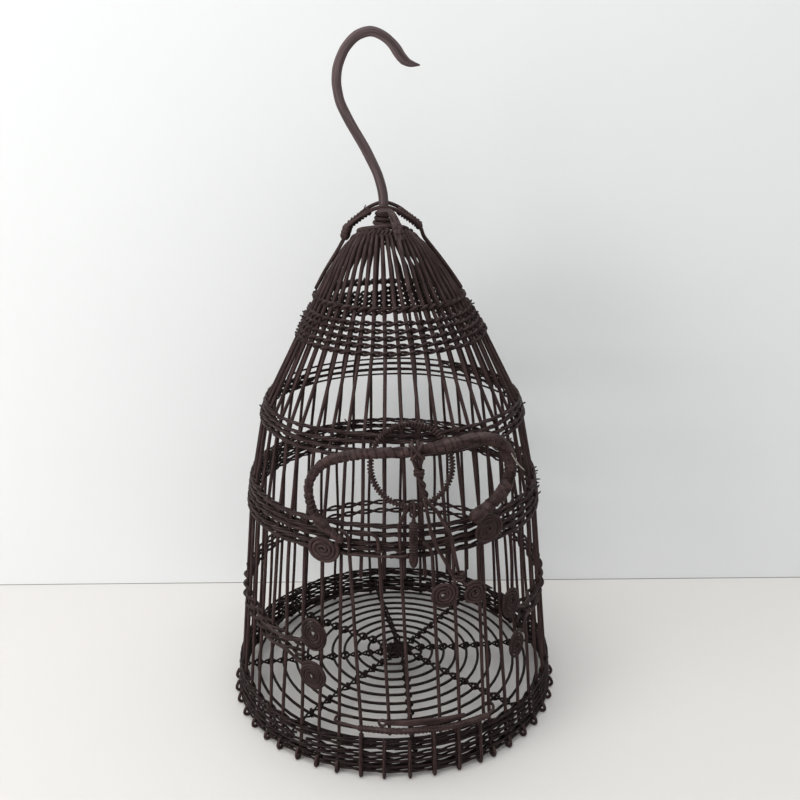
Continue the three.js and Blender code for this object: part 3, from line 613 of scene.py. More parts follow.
def lining(level, radius, start, count=stake_count - 0.6, side=-1):
    """A cane laid round the stakes with its ends cut, inside them or, with side 1, outside."""
    stakes = np.arange(start, start + count, 1 / 3)
    phase = chance.uniform(0, 2 * np.pi, 2)
    height = level + 0.55 * mm * np.sin(stakes * 0.6 + phase[0]) * np.sin(stakes * 0.23 + phase[1])
    azimuth = stake_azimuth(stakes, height)
    route = wall_point(azimuth, height, side * (stake_radius + radius + weave_gap))
    return strand(route, radius * (1 + 0.08 * np.sin(stakes * 0.9)), outward(azimuth))


def woven_band(levels, radius, linings, climb, slack):
    """Rows of waling, each with its start somewhere round the cage, over rows of lining."""
    canes = []
    for level in levels:
        start = chance.integers(-24, 24) + 0.35
        canes += waled(start, start + stake_count - 0.5, level * mm, radius, climb, slack)
    for level in linings:
        canes.append(lining(level * mm, 0.86 * radius, chance.uniform(-24, 24)))
    return canes


def loose_ends(count, low, high, radius, stakes=(-24, 24)):
    """Cut ends of weavers that poke out of the weaving."""
    ends = []
    root = 1.6 * mm
    for _ in range(count):
        stake = chance.uniform(*stakes)
        height = chance.uniform(low, high) * mm
        azimuth = (stake + 0.5) * stake_pitch
        out = chance.uniform(4.2, 6.6) * mm
        skew = chance.uniform(-1.2, 1.2)
        rise = chance.uniform(-1.5, 2.5) * mm
        steps = np.linspace(0, 1, 6)
        places = azimuth + skew * steps * 1.6, height + rise * steps, root + (out - root) * steps
        size = radius * (1 - 0.25 * steps)
        ends.append(strand(wall_point(*places), size, sideways(azimuth), sides=7))
    return ends


# The rim's paint is darker than the stakes': painted shade, low on the cage and away from the light
# above.
rim_shaded_finish = painted_cane(
    "rim_paint_shaded",
    deep=(0.0066, 0.0039, 0.0039),
    light=(0.0260, 0.0159, 0.0154),
    rubbed=(0.07, 0.044, 0.037),
    grooves=7.0,
    wear=0.5,
    dust_and_top_light=0.15,
)
rim_levels = [6, 10, 15.4, 20.9, 27.6, 32]
rim = woven_band(rim_levels, 0.92 * mm, [8, 29.8], climb=0.85, slack=0.5)
rim += loose_ends(12, 12, 31, 0.9 * mm)
add_piece("twined_rim", rim, rim_shaded_finish, "cage", "weaver_cane", "rim_weave")

middle_levels = [198.3, 204.1, 210, 215.9, 221.8]
middle = woven_band(middle_levels, 1.06 * mm, [204.4, 216.2], climb=0.9, slack=1.6)
middle += loose_ends(18, 197, 224, 0.95 * mm, stakes=(5, 46))
middle += loose_ends(22, 197, 225, 0.85 * mm, stakes=(10, 15))
add_piece("twined_middle_band", middle, weaver_finish, "cage", "weaver_cane", "middle_band")

upper = []
for level in (278.6, 283.6, 288.6, 293.4):
    start = chance.uniform(-19, -15)
    end = start + chance.uniform(33, 37)
    upper += waled(start, end, level * mm, 0.98 * mm, climb=0.8, slack=1.3)
for level in (279.6, 286.2, 292.8):
    for rise, side in ((-0.9, -1), (0.9, 1)):
        start = chance.uniform(14.5, 17)
        count = chance.uniform(15, 17)
        upper.append(lining((level + rise) * mm, 0.95 * mm, start, count, side))
upper += loose_ends(14, 277, 294, 0.95 * mm)
add_piece("twined_upper_band", upper, weaver_finish, "cage", "weaver_cane", "upper_band")

crown_rows = (350 * mm, 377 * mm)
crown_top_row = (384.3 * mm, 384.3 * mm)
crown = twined(-24, -24 + 5 * stake_count, crown_rows, 1.25 * mm, slack=0.4)
crown += twined(-24, 24, crown_top_row, 1.5 * mm, slack=0.2)
crown += loose_ends(10, 352, 384, 0.85 * mm)
add_piece("twined_crown_band", crown, weaver_finish, "cage", "weaver_cane", "crown_band")

# The lower band stops at the door. Each of its two rows ends on both sides in a flat rosette, where
# one cane is coiled on itself from the outside to a small eye.
rosette_cane = 1.22 * mm
rosette_eye = 1.9 * mm
rosette_dome = 0.9 * mm
lower_radius = 1.35 * mm
lower_rosette = 12.5 * mm
lower_rosette_stand = 5.6 * mm
lower_tail_stands = np.array([3.9, 4.4, 4.8]) * mm
lower_heights = [114 * mm, 104 * mm]
lower_rise = 10 * mm
lower_left_rosettes = [
    dict(azimuth=-27.7, lift=0.83, reach=1.0, stretch=1.24, start=215, hand=1),
    dict(azimuth=-27.7, lift=-1.42, reach=1.04, stretch=1.02, start=140, hand=-1),
]
lower_right_rosettes = [
    dict(azimuth=44.1, lift=1.12, reach=0.85, stretch=1.38, start=-35, hand=-1),
    dict(azimuth=46.2, lift=-1.46, reach=0.8, stretch=1.4, start=40, hand=1),
]


def evened(points, spacing):
    """The same run of points with its places an even distance apart."""
    points = np.asarray(points, float)
    steps = np.linalg.norm(np.diff(points[:, :3], axis=0), axis=1)
    reach = np.concatenate([[0], np.cumsum(steps)])
    at = np.linspace(0, reach[-1], max(3, int(round(reach[-1] / spacing)) + 1))
    return np.stack([np.interp(at, reach, column) for column in points.T], axis=1)


def rounded(points, spacing, bend):
    """A run of points with its corners rounded over a length."""
    route = evened(points, spacing)
    half = max(1, int(bend / spacing / 2))
    half = min(half, len(route) - 1)
    for _ in range(2):
        before = 2 * route[:1] - route[half:0:-1]
        after = 2 * route[-1:] - route[-2 : -half - 2 : -1]
        padded = np.vstack([before, route, after])
        window = np.ones(2 * half + 1) / (2 * half + 1)
        route = np.stack([np.convolve(column, window, "valid") for column in padded.T], axis=1)
    return route


def rosette(centre, right, radius, start, hand, stretch=1.0, cane=rosette_cane):
    """A flat coil from its outer end inwards. `hand` is 1 where it winds from right to up."""
    pitch = 2.02 * cane
    steps = np.arange(int((radius - rosette_eye) / pitch * 26) + 1) / 26
    reach = radius - steps * pitch
    turn = math.radians(start) + hand * steps * 2 * np.pi
    wobble = 1 + 0.025 * np.sin(turn * 2 + centre[0] * 900)
    route = circle(centre, right, upward, turn, reach * wobble, reach * stretch)
    dome = rosette_dome * (1 - (reach / radius) ** 2)
    return route + np.cross(right, upward) * dome[:, None]


def lower_rosette_route(azimuth, lift, reach, base, **form):
    centre = wall_point(azimuth, base + lift * lower_rosette, lower_rosette_stand)
    return rosette(centre, sideways(azimuth), reach * lower_rosette, **form)


def make_lower_row(row):
    left, right = lower_left_rosettes[row], lower_right_rosettes[row]
    low = lower_heights[row]
    high = low + lower_rise
    first, last = first_cut - 3, last_cut + 3
    levels = (high, high, low + 6 * mm, low - 4 * mm)
    canes = twined(last, first + stake_count + 0.1, levels, lower_radius, lift=0.95, slack=1.0)
    ends = [(left, low, -4, first - 0.35, -1), (right, high, 0, last + 0.2, 1)]
    for form, base, sag, stake, hand in ends:
        coil = lower_rosette_route(base=base, **form)
        stakes = stake + np.array([2.2, 1.2, 0.3]) * hand
        heights = np.full(3, base + sag * mm)
        tail = wall_point((stakes + 0.5) * stake_pitch, heights, lower_tail_stands)
        route = rounded(np.vstack([tail, coil]), 0.7 * mm, 3 * mm)
        canes.append(strand(route, 1.16 * rosette_cane, outward(form["azimuth"]), flat=0.9))
    return canes


for row, node in enumerate(["lower_band_top_weaver", "lower_band_bottom_weaver"]):
    canes = make_lower_row(row)
    name = node.replace("weaver", "twining")
    add_piece(name, canes, weaver_finish, "cage", "weaver_cane", node)

# At the throat a border of short slanted turns binds every stake, and one smooth thick cane lies on
# top in two turns.
throat_height = 441 * mm
border_across = np.array([-4.6, -3.2, 0, 3.2, 4.6])
border_heights = np.array([436.4, 437.1, 438.9, 440.9, 441.3]) * mm
border_radii = np.array([27.6, 29.0, 28.7, 26.9, 25.0]) * mm
ring_reach = 23.4
ring_pitch = 3.8
ring_rise = 3.7
ring_cane_radius = 2.3 * mm
# The crown's paint is a little lighter than the stakes': painted light, as the crown is high and
# lit from above.
crown_lit_finish = painted_cane(
    "crown_paint_lit",
    deep=(0.018, 0.0109, 0.0109),
    light=(0.0702, 0.0451, 0.0439),
    rubbed=(0.11, 0.07, 0.06),
)
border_turns = []
for stake in range(stake_count):
    azimuth = (stake + 0.5) * stake_pitch
    route = round_point(azimuth + border_across, border_radii, border_heights)
    route = rounded(route, 0.7 * mm, 1.4 * mm)
    size = chance.uniform(1.05, 1.25) * mm
    border_turns.append(strand(tipped(route), size, outward(azimuth)))
add_piece("crown_border_turns", border_turns, crown_lit_finish, "cage", "crown_cane", "crown_border")

azimuth = np.arange(0, 2 * 360, 4) + 100
turns = np.arange(len(azimuth)) / 90
reach = (ring_reach - turns * ring_pitch) * mm
ring = round_point(azimuth, reach, np.full(len(azimuth), throat_height))
ring[:, 2] += (ring_rise + 0.25 * np.sin(np.radians(azimuth * 3)) + turns * 0.6) * mm
ring_canes = [strand(tipped(ring), ring_cane_radius, upward, sides=10)]
add_piece("crown_ring_canes", ring_canes, crown_lit_finish, "cage", "crown_cane", "crown_ring")

# Two canes arch over the crown side by side and carry the hook. Flat cane is wrapped round both
# legs, in wide ridges on the left and in fine ones on the right, and below it the bare canes run
# down the wall to the crown band.
wrapped_finish = painted_cane(
    "wrapped_paint",
    deep=(0.018, 0.0106, 0.0105),
    light=(0.0616, 0.0375, 0.0358),
    rubbed=(0.12, 0.076, 0.06),
    grooves=5.0,
    wear=0.5,
    relief=0.16,
)
arch_half = 34.6 * mm
arch_foot = 436 * mm
arch_rise = 27 * mm
arch_shares = [(0.955, 0), (0.945, 0.17), (0.86, 0.36), (0.66, 0.56), (0.41, 0.8), (0.16, 0.945)]
arch_radius = 1.65 * mm
arch_apart = 1.95 * mm
arch_opening = 4 * mm
arch_step = 1.3 * mm
leg_stand = 3.5 * mm
leg_heights = np.array([426, 415, 402, 389.5]) * mm
to_front = (0, -1, 0)
left_wrap = dict(radius=3.5 * mm, least=2.9 * mm, most=3.6 * mm, lap=1.5 * mm, groove=1.5 * mm)
left_end_wrap = dict(radius=4.4 * mm, least=3 * mm, most=4 * mm, groove=0.7 * mm)
right_wrap = dict(radius=3.7 * mm, least=2.6 * mm, most=3.4 * mm, lap=0.9 * mm, groove=1.5 * mm)
wisp_rises = np.array([(2.5, -1.5, 6), (-4, -1.5, 4.5)]) * mm
wisp_radius = 0.5 * mm


def arch_route(depth):
    span = [(-across, up) for across, up in arch_shares] + [(0, 0.985)]
    span += [(across, up) for across, up in reversed(arch_shares)]
    points = []
    for across, up in span:
        spread = min(1, 1.6 * (1 - abs(across)))
        apart = arch_apart + arch_opening * spread
        height = arch_foot + up * arch_rise + depth * arch_step * spread
        points.append((-crown_lean + across * arch_half, depth * apart, height))
    for height in leg_heights:
        feet = tipped(wall_point(np.array([-90, 90]), np.full(2, height), leg_stand))
        feet[:, 1] = depth * arch_apart
        points = [feet[0], *points, feet[1]]
    return rounded(points, 1 * mm, 7 * mm)


def wound(route, edges, radius, lap, sides=14, groove=0.28 * mm):
    """Radii of a bar wrapped with flat cane: each turn starts at an edge and laps over the last."""
    steps = np.linalg.norm(np.diff(route, axis=0), axis=1)
    reach = np.concatenate([[0], np.cumsum(steps)])
    turn = np.interp(reach, edges, np.arange(len(edges)))
    width = np.interp(reach, edges, np.gradient(edges))
    share = (turn[:, None] - np.arange(sides)[None, :] / sides) % 1.0
    near = np.minimum(share, 1 - share) * width[:, None]
    radius = np.broadcast_to(np.asarray(radius, float).reshape(-1, 1), share.shape)
    return radius + lap * (share - 0.5) - groove * np.exp(-((near / (0.32 * mm)) ** 2))


def edges_along(route, least, most):
    """Places along a route where turns of its wrapping start, unevenly spaced."""
    length = np.linalg.norm(np.diff(route, axis=0), axis=1).sum()
    widths = chance.uniform(least, most, int(length / least) + 2)
    edges = np.concatenate([[0], np.cumsum(widths)])
    return edges[: np.searchsorted(edges, length) + 2]


def sleeve(route, radius, least, most, lap=0.3 * mm, groove=0.3 * mm, sides=14):
    route = evened(route, 0.35 * mm)
    radii = wound(route, edges_along(route, least, most), radius, lap, sides, groove)
    return strand(route, radii, to_front, sides=sides)


for depth, name in ((-1, "arch_cane_front"), (1, "arch_cane_rear")):
    route = arch_route(depth)
    canes = [strand(route, arch_radius, to_front, sides=10)]
    if depth < 0:
        both = route.copy()
        both[:, 1] = 0
        left = both[(both[:, 0] < -19 * mm) & (both[:, 2] > 436 * mm)]
        canes += [sleeve(left[9:], **left_wrap), sleeve(left[:8], **left_end_wrap)]
        right = both[(both[:, 0] > 7 * mm) & (both[:, 2] > 444 * mm)]
        canes.append(sleeve(right, **right_wrap))
        for start, rise in zip((left[-8], right[1]), wisp_rises):
            wisp = [start, start + 0.7 * rise, start + rise * (1.6, 1, 1.5)]
            canes.append(strand(rounded(wisp, 0.8 * mm, 2 * mm), wisp_radius, to_front, sides=6))
    add_piece(f"{name}_wrapped", canes, wrapped_finish, "cage", "crown_cane", name)

# A flat strap of split cane ties the arch down at the front. It widens to a square end over the
# border, and a thinner cane runs on down from under it.
strap_azimuth = 20.0
strap_band_lap = 0.35 * mm
strap_cane_stand = 3.9 * mm
strap_cane_radius = 1.9 * mm
strap_points = [(17, 458.5), (21.5, 456), (27, 451.8), (32.5, 446.8), (36.2, 441.5), (38, 437.5)]
strap_top = [np.array([-11, -9.5, 457.5]) * mm, np.array([-4.5, -12.3, 459]) * mm]
strap_foot = [round_point(strap_azimuth, reach * mm, height * mm) for reach, height in strap_points]
strap_route = rounded(np.vstack([strap_top, strap_foot]), 0.8 * mm, 6 * mm)
strap_share = np.linspace(0, 1, len(strap_route))
strap_width = np.interp(strap_share, [0, 0.3, 0.6, 0.8, 1], [2.4, 2.8, 4.1, 4.4, 4.3]) * mm
strap_out = outward(strap_azimuth) + np.array([0, 0, 0.8])
strap = [strand(strap_route, strap_width, strap_out, sides=16, flat=0.3)]
for place in (-9, -13, -17):
    band = strap_route[place - 1 : place + 2]
    strap.append(strand(band, strap_width[place] + strap_band_lap, strap_out, sides=16, flat=0.42))
cane_azimuths = np.array([18.6, 18, 17.5, 17.2, 17.2])
cane_heights = np.array([437.5, 432, 424, 412, 398]) * mm
cane_route = tipped(wall_point(cane_azimuths, cane_heights, strap_cane_stand))
cane_route = rounded(cane_route, 1 * mm, 5 * mm)
strap.append(strand(cane_route, strap_cane_radius, sideways(strap_azimuth)))
add_piece("crown_front_tie", strap, crown_lit_finish, "cage", "crown_cane", "crown_front_strap")

# The hook is carved from one piece of wood, round in section, with a flared and pointed tip. It
# turns in the arch, held by a collar of wound cane under it.
hook_radius = 4.1 * mm
hook_foot = 447 * mm
hook_height = 153 * mm
hook_width = 68 * mm
hook_shares = [
    (0, 0), (0, 0.11), (-0.01, 0.17), (-0.07, 0.265), (-0.22, 0.4), (-0.4, 0.535), (-0.52, 0.64),
    (-0.56, 0.74), (-0.54, 0.82), (-0.45, 0.91), (-0.31, 0.975), (-0.13, 1), (0.03, 0.97),
    (0.15, 0.92), (0.22, 0.865), (0.305, 0.832), (0.44, 0.826),
]  # fmt: skip
hook_points = np.array([(x * hook_width, 0, z * hook_height) for x, z in hook_shares])
hook_route = rounded(hook_points + (-crown_lean, 0, hook_foot), 0.8 * mm, 9 * mm)
hook_share = np.linspace(0, 1, len(hook_route))
hook_size = np.interp(
    hook_share,
    [0, 0.04, 0.3, 0.6, 0.86, 0.9, 0.94, 0.975, 1],
    [0.95, 1, 1, 0.98, 0.97, 1.08, 0.98, 0.62, 0.2],
)
turn = round_turn(16)
along = hook_share[:, None]
whittled = 0.012 * np.sin(2 * turn + along * 40) + 0.01 * np.sin(3 * turn + along * 23)
hook_radii = hook_radius * (hook_size[:, None] + whittled)
# The hook's paint is much lighter than the cage's: painted light and sheen, as the hook is highest
# and lit from above.
hook_lit_finish = painted_cane(
    "hook_paint_lit",
    deep=(0.048, 0.033, 0.0338),
    light=(0.1366, 0.0986, 0.0997),
    rubbed=(0.19, 0.138, 0.124),
    grooves=14.0,
    run=18.0,
    wear=0.35,
    dust_and_top_light=0.18,
    relief=0.2,
)
hook = [strand(hook_route, hook_radii, to_front, sides=16)]
add_piece("carved_hook", hook, hook_lit_finish, "hook", "hook_wood", "hook")

collar_top = np.array([-crown_lean, 0, 456.7 * mm])
collar_pitch = 3.8 * mm
collar_radius = 1.7 * mm
turn = np.linspace(0, 3.3 * 2 * np.pi, 120)
reach = (6 + 3.8 * (turn / turn[-1]) ** 2) * mm
collar = circle(collar_top, sideways(0), -outward(0), turn, reach)
collar[:, 2] -= turn / (2 * np.pi) * collar_pitch
collar_canes = [strand(collar, collar_radius, upward, sides=10)]
add_piece("hook_collar_turns", collar_canes, wrapped_finish, "hook", "wrapped_cane", "hook_collar")

# The handle hoop is a thick core wrapped with flat cane in uneven turns, bent up from the middle
# band. Each end thins to a single cane that is coiled into a rosette on the band. On the right bend
# a pale splinter has lifted from the wrapping.
hoop_span = 70.7
hoop_middle = 7.55
hoop_foot = 203.7 * mm
hoop_height = 96 * mm
hoop_near = 137.3 * mm
hoop_far = 148.7 * mm
hoop_shares = [
    (-0.352, 0.11, 0.25), (-0.415, 0.175, 0.25), (-0.482, 0.294, 0.35), (-0.5, 0.485, 0.6),
    (-0.487, 0.636, 0.8), (-0.431, 0.78, 0.92), (-0.357, 0.873, 1), (-0.24, 0.926, 1),
    (-0.036, 0.946, 1), (0.118, 0.978, 1), (0.288, 1, 1), (0.392, 0.915, 0.97), (0.458, 0.72, 0.9),
    (0.458, 0.55, 0.8), (0.412, 0.42, 0.72), (0.34, 0.352, 0.68), (0.268, 0.285, 0.64),
]  # fmt: skip
hoop_bands = (-5, -11, -17, -62, -70, -78, -86, 40, 46, 52)
hoop_cane = 1.72 * mm


def azimuth_of(points):
    return np.degrees(np.arctan2(points[:, 0], -points[:, 1]))


def hoop_point(across, up, out):
    azimuth = hoop_middle + across * hoop_span
    radius = hoop_near + out * (hoop_far - hoop_near)
    return round_point(azimuth, radius, hoop_foot + up * hoop_height)


def hoop_rosette(across, up, out, radius, **form):
    right = sideways(hoop_middle + across * hoop_span)
    return rosette(hoop_point(across, up, out), right, radius, **form)


hoop_route = rounded([hoop_point(*share) for share in hoop_shares], 0.45 * mm, 16 * mm)
hoop_share = np.linspace(0, 1, len(hoop_route))
hoop_size = np.interp(
    hoop_share,
    [0, 0.07, 0.18, 0.28, 0.46, 0.485, 0.51, 0.535, 0.69, 0.77, 0.86, 0.96, 1],
    [3.1, 3.9, 3.6, 4.1, 4.2, 3.7, 3.7, 4.4, 5.0, 5.2, 4.8, 5.0, 4.6],
)
hoop_edges = edges_along(hoop_route, 2.6 * mm, 8.6 * mm)
hoop_radii = wound(hoop_route, hoop_edges, hoop_size * mm, 0.95 * mm, sides=20, groove=1.2 * mm)
hoop_facing = outward(azimuth_of(hoop_route))
hoop = [strand(hoop_route, hoop_radii, hoop_facing, sides=20)]
left_eye = dict(radius=14.1 * mm, stretch=0.82, start=35, hand=-1, cane=hoop_cane)
right_eye = dict(radius=14.4 * mm, stretch=0.84, start=140, hand=-1, cane=hoop_cane * 0.9)
hoop_ends = [
    (hoop_route[14::-5], hoop_rosette(-0.449, -0.01, 0.1, **left_eye), hoop_cane),
    (hoop_route[-14::5], hoop_rosette(0.351, 0.128, 0.5, **right_eye), hoop_cane * 0.9),
]
for lead, coil, size in hoop_ends:
    route = rounded(np.vstack([lead, coil]), 0.7 * mm, 3 * mm)
    hoop.append(strand(route, size, outward(hoop_middle), sides=10, flat=0.85))
for place in hoop_bands:
    band = evened(hoop_route[place - 2 : place + 3], 0.5 * mm)
    size = (hoop_size[place] + 0.75) * mm
    hoop.append(strand(band, size, hoop_facing[place], sides=20, flat=0.98))
add_piece("wrapped_handle_hoop", hoop, wrapped_finish, "cage", "wrapped_cane", "handle_hoop")

bare_finish = painted_cane(
    "bare_cane",
    deep=(0.2, 0.17, 0.15),
    light=(0.42, 0.37, 0.33),
    rubbed=(0.55, 0.5, 0.45),
)
splinter_radius = 0.55 * mm
splinter_shares = [
    (0.418, 0.82, 1.5), (0.436, 0.76, 1.54), (0.474, 0.68, 1.46), (0.515, 0.62, 1.25),
]  # fmt: skip
route = rounded([hoop_point(*share) for share in splinter_shares], 0.8 * mm, 4 * mm)
splinter = [strand(route, splinter_radius, outward(38.0))]
add_piece("hoop_splinter", splinter, bare_finish, "cage", "wrapped_cane", "handle_hoop")

# The door is six straight canes that slide up in front of the middle band. A wrapped rail holds
# them across the bottom and is looped round both jambs, and a flat strap crosses them above it.
door_finish = painted_cane(
    "door_paint",
    deep=(0.0165, 0.0094, 0.0094),
    light=(0.0582, 0.0353, 0.0336),
    rubbed=(0.1, 0.064, 0.052),
)
door_azimuths = [-15.2, -5, 2.2, 13, 20.4, 30.2]
door_stand = 5.95 * mm
door_foot = 43 * mm
door_gate = 210 * mm
door_top = 215 * mm
door_bend = 9 * mm
door_way = np.array([-0.045, 0.095, 1.0])
door_tops = [
    (0.2, [(-0.75, 0.45)]),
    (0.2, [(-0.5, 0.3), (-1.3, 0.45)]),
    (1.4, [(0.6, 1.2), (1, 1.75)]),
    (-1.5, [(-0.3, 0.7), (-0.8, 1.1)]),
    (-1, []),
    (-1.7, []),
]


def door_point(azimuth, height, stand=0.0):
    gate = wall_point(azimuth, door_gate, door_stand)
    return gate + door_way * (height - gate[2]) + outward(azimuth) * stand


for number, (azimuth, (rise, bends)) in enumerate(zip(door_azimuths, door_tops), start=1):
    top = door_point(azimuth, door_top + rise * door_bend)
    points = [door_point(azimuth, door_foot), top]
    for across, rise in bends:
        points.append(top + (sideways(azimuth) * across + upward * rise) * door_bend)
    bar = [strand(rounded(points, 1.5 * mm, 8 * mm), stake_radius, outward(azimuth), sides=10)]
    node = f"door_bar_{number}"
    add_piece(f"door_cane_{number}", bar, door_finish, "door", "door_cane", node)

rail_height = 48.3 * mm
rail_radius = 2.7 * mm
rail_stand = 3.8 * mm
rail_loop_radius = 1.35 * mm
rail_points = [door_point(azimuth, rail_height, rail_stand) for azimuth in door_azimuths]


def jamb_loop(stake, steps):
    """Places round a jamb stake, as steps in mm sideways and outward from its centre."""
    azimuth = (stake + 0.5) * stake_pitch
    centre = wall_point(azimuth, rail_height)
    return [centre + (sideways(azimuth) * x + outward(azimuth) * y) * mm for x, y in steps]


left_steps = [(8.9, -6.4), (4.5, -6.4), (0, -6.1), (-3.35, -3.35), (-3.6, 1.7), (0, 3.7)]
right_steps = [(-3.35, -3.65), (0, -3.65), (3.35, -1.7), (3.35, 1.7), (0, 6.4)]
rail_route = rounded(rail_points, 0.45 * mm, 12 * mm)
rail_edges = edges_along(rail_route, 2.6 * mm, 4.6 * mm)
rail_radii = wound(rail_route, rail_edges, rail_radius, 0.5 * mm, sides=14, groove=0.55 * mm)
rail = [strand(rail_route, rail_radii, upward, sides=14)]
for stake, steps, joint in ((-3, left_steps, rail_points[0]), (4, right_steps, rail_points[-1])):
    route = rounded([*jamb_loop(stake, steps), joint], 0.7 * mm, 4 * mm)
    rail.append(strand(route, rail_loop_radius, upward))
# The rail takes the door canes' paint, a little darker than the other wrapped cane: painted shade,
# as the rail lies in shade.
add_piece("door_rail_wrapped", rail, door_finish, "door", "wrapped_cane", "door_bottom_rail")

door_strap_height = 55 * mm
door_strap_stand = 2.9 * mm
door_strap_lap = 2.7 * mm
eyelet_reach = 2.9 * mm
eyelet_shift = 2.6 * mm
eyelet_radius = 1.2 * mm
strap_azimuths = door_azimuths[1:5]
strap_points = [
    door_point(azimuth, door_strap_height, door_strap_stand) for azimuth in strap_azimuths
]
strap_left, strap_right = sideways(strap_azimuths[0]), sideways(strap_azimuths[-1])
strap_points[0] -= strap_left * door_strap_lap
strap_points[-1] += strap_right * door_strap_lap
strap_route = rounded(strap_points, 1 * mm, 8 * mm)
strap_facing = outward(azimuth_of(strap_route))
strap_share = np.linspace(0, 1, len(strap_route))
strap_size = np.interp(strap_share, [0, 0.2, 0.35, 0.7, 0.8, 1], [2.3, 2.7, 3.3, 3.3, 2.8, 2.6])
door_strap = [strand(strap_route, strap_size * mm, strap_facing, sides=12, flat=0.4)]
eyelet_centre = strap_route[0] - strap_left * eyelet_shift
eyelet = circle(eyelet_centre, strap_left, upward, round_turn(24), eyelet_reach)
door_strap.append(strand(eyelet, eyelet_radius, outward(strap_azimuths[0]), closed=True))
add_piece("door_flat_strap", door_strap, wrapped_finish, "door", "wrapped_cane", "door_cross_strap")

# A thin cane fixed to the middle band keeps the first three door canes in place. A small loop of
# split cane goes round each of the two inner ones.
keeper_height = 202 * mm
keeper_stand = 2.9 * mm
keeper_lap = 3.2 * mm
keeper_radius = 1.15 * mm
keeper_end_stand = 5.6 * mm
keeper_loop_rise = 3.2 * mm
keeper_loop_radius = 0.7 * mm
kept = door_azimuths[:3]
keeper_points = [door_point(azimuth, keeper_height, keeper_stand) for azimuth in kept]
keeper_ends = [wall_point(azimuth, keeper_height, keeper_end_stand) for azimuth in (-18.6, 5.4)]
before = keeper_points[0] - sideways(kept[0]) * keeper_lap
after = keeper_points[-1] + sideways(kept[-1]) * keeper_lap
keeper_points = [keeper_ends[0], before, *keeper_points, after, keeper_ends[1]]
keeper = [strand(rounded(keeper_points, 0.8 * mm, 4 * mm), keeper_radius, upward)]
for azimuth in kept[1:]:
    centre = door_point(azimuth, keeper_height + keeper_loop_rise)
    sides = outward(azimuth), sideways(azimuth)
    loop = circle(centre, *sides, round_turn(24), 2.3 * mm, 3.1 * mm)
    keeper.append(strand(loop, keeper_loop_radius, upward, closed=True))
add_piece("door_keeper_cane", keeper, wrapped_finish, "cage", "wrapped_cane", "door_keeper")

# A small link of bent cane is tied to the middle canes of the door. It carries the pull ring, by
# which the door is lifted, and the peg.
link_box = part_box("ring_link")
link_centre = np.array((link_box[0] + link_box[1]) / 2)
link_reach = 5.2 * mm
link_radius = 1.2 * mm
pull_azimuth = math.degrees(math.atan2(link_centre[0], -link_centre[1]))
pull_out = outward(pull_azimuth)
pull_across = sideways(pull_azimuth)
link_route = circle(link_centre, pull_out, upward, round_turn(40), link_reach)
link = [strand(link_route, link_radius, pull_across, closed=True)]
add_piece("pull_link", link, wrapped_finish, "door", "wrapped_cane", "ring_link")

# The pull ring is a bent core of cane with a thin cane wound round it like a spring, thicker at the
# top. It stands on the link and leans back on the wall.
pull_radius = 32.3 * mm
pull_core_radius = 1.45 * mm
pull_lean = math.radians(22)
pull_turns = 78
spring_radius = 0.72 * mm
pull_up = upward * math.cos(pull_lean) - pull_out * math.sin(pull_lean)
pull_square = np.cross(pull_across, pull_up)
pull_low = link_centre + upward * 1.4 * mm
pull_centre = pull_low + pull_up * pull_radius
core = circle(pull_centre, -pull_up, pull_across, round_turn(120), pull_radius)
turn = round_turn(pull_turns * 12)
spokes = circle(0, -pull_up, pull_across, turn, 1)
wind = turn * pull_turns
out = (2.15 + 0.3 * np.cos(turn - np.pi) ** 3) * mm
spring = circle(pull_centre + spokes * pull_radius, spokes, pull_square, wind, out)
spring_facing = circle(0, spokes, pull_square, wind, 1)
pull = [
    strand(core, pull_core_radius, pull_square, closed=True),
    strand(spring, spring_radius, spring_facing, sides=6, closed=True),
]
add_piece("wound_pull_ring", pull, wrapped_finish, "pull_ring", "wrapped_cane", "pull_ring")

# The peg hangs in the link by a wire eye. Its upper part is bound with close turns of thread, and
# its foot is a carved bulb.
peg_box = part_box("door_peg")
peg_foot = peg_box[0].z
peg_radius = 3.7 * mm
thread_pitch = 2.4 * mm
eye_height = 47.6 * mm
eye_reach = 2.6 * mm
eye_radius = 1 * mm
peg_finish = painted_cane(
    "peg_paint",
    deep=(0.0165, 0.0094, 0.0094),
    light=(0.0582, 0.0353, 0.0336),
    rubbed=(0.1, 0.064, 0.052),
    run=30.0,
)
peg_heights = np.arange(0, 45, 0.2) * mm
peg_size = np.interp(
    peg_heights / mm,
    [0, 1, 3, 6, 9, 12, 13.2, 14, 39, 40, 42, 44.9],
    [0.12, 0.42, 0.74, 1.02, 1.06, 0.9, 0.5, 0.62, 0.6, 0.5, 0.45, 0.3],
)
bound = (peg_heights > 13.6 * mm) & (peg_heights < 39.6 * mm)
thread = 0.42 * np.abs(np.sin(peg_heights / thread_pitch * np.pi)) ** 0.7 * bound
peg_route = np.tile(link_centre, (len(peg_heights), 1))
peg_route[:, 2] = peg_foot + peg_heights
peg = [strand(peg_route, peg_radius * (peg_size + thread), pull_out, sides=16)]
eye_centre = np.array([*link_centre[:2], peg_foot + eye_height])
eye_route = circle(eye_centre, pull_across, upward, round_turn(30), eye_reach)
peg.append(strand(eye_route, eye_radius, pull_out, closed=True))
add_piece("thread_bound_peg", peg, peg_finish, "door_peg", "peg_wood", "door_peg")

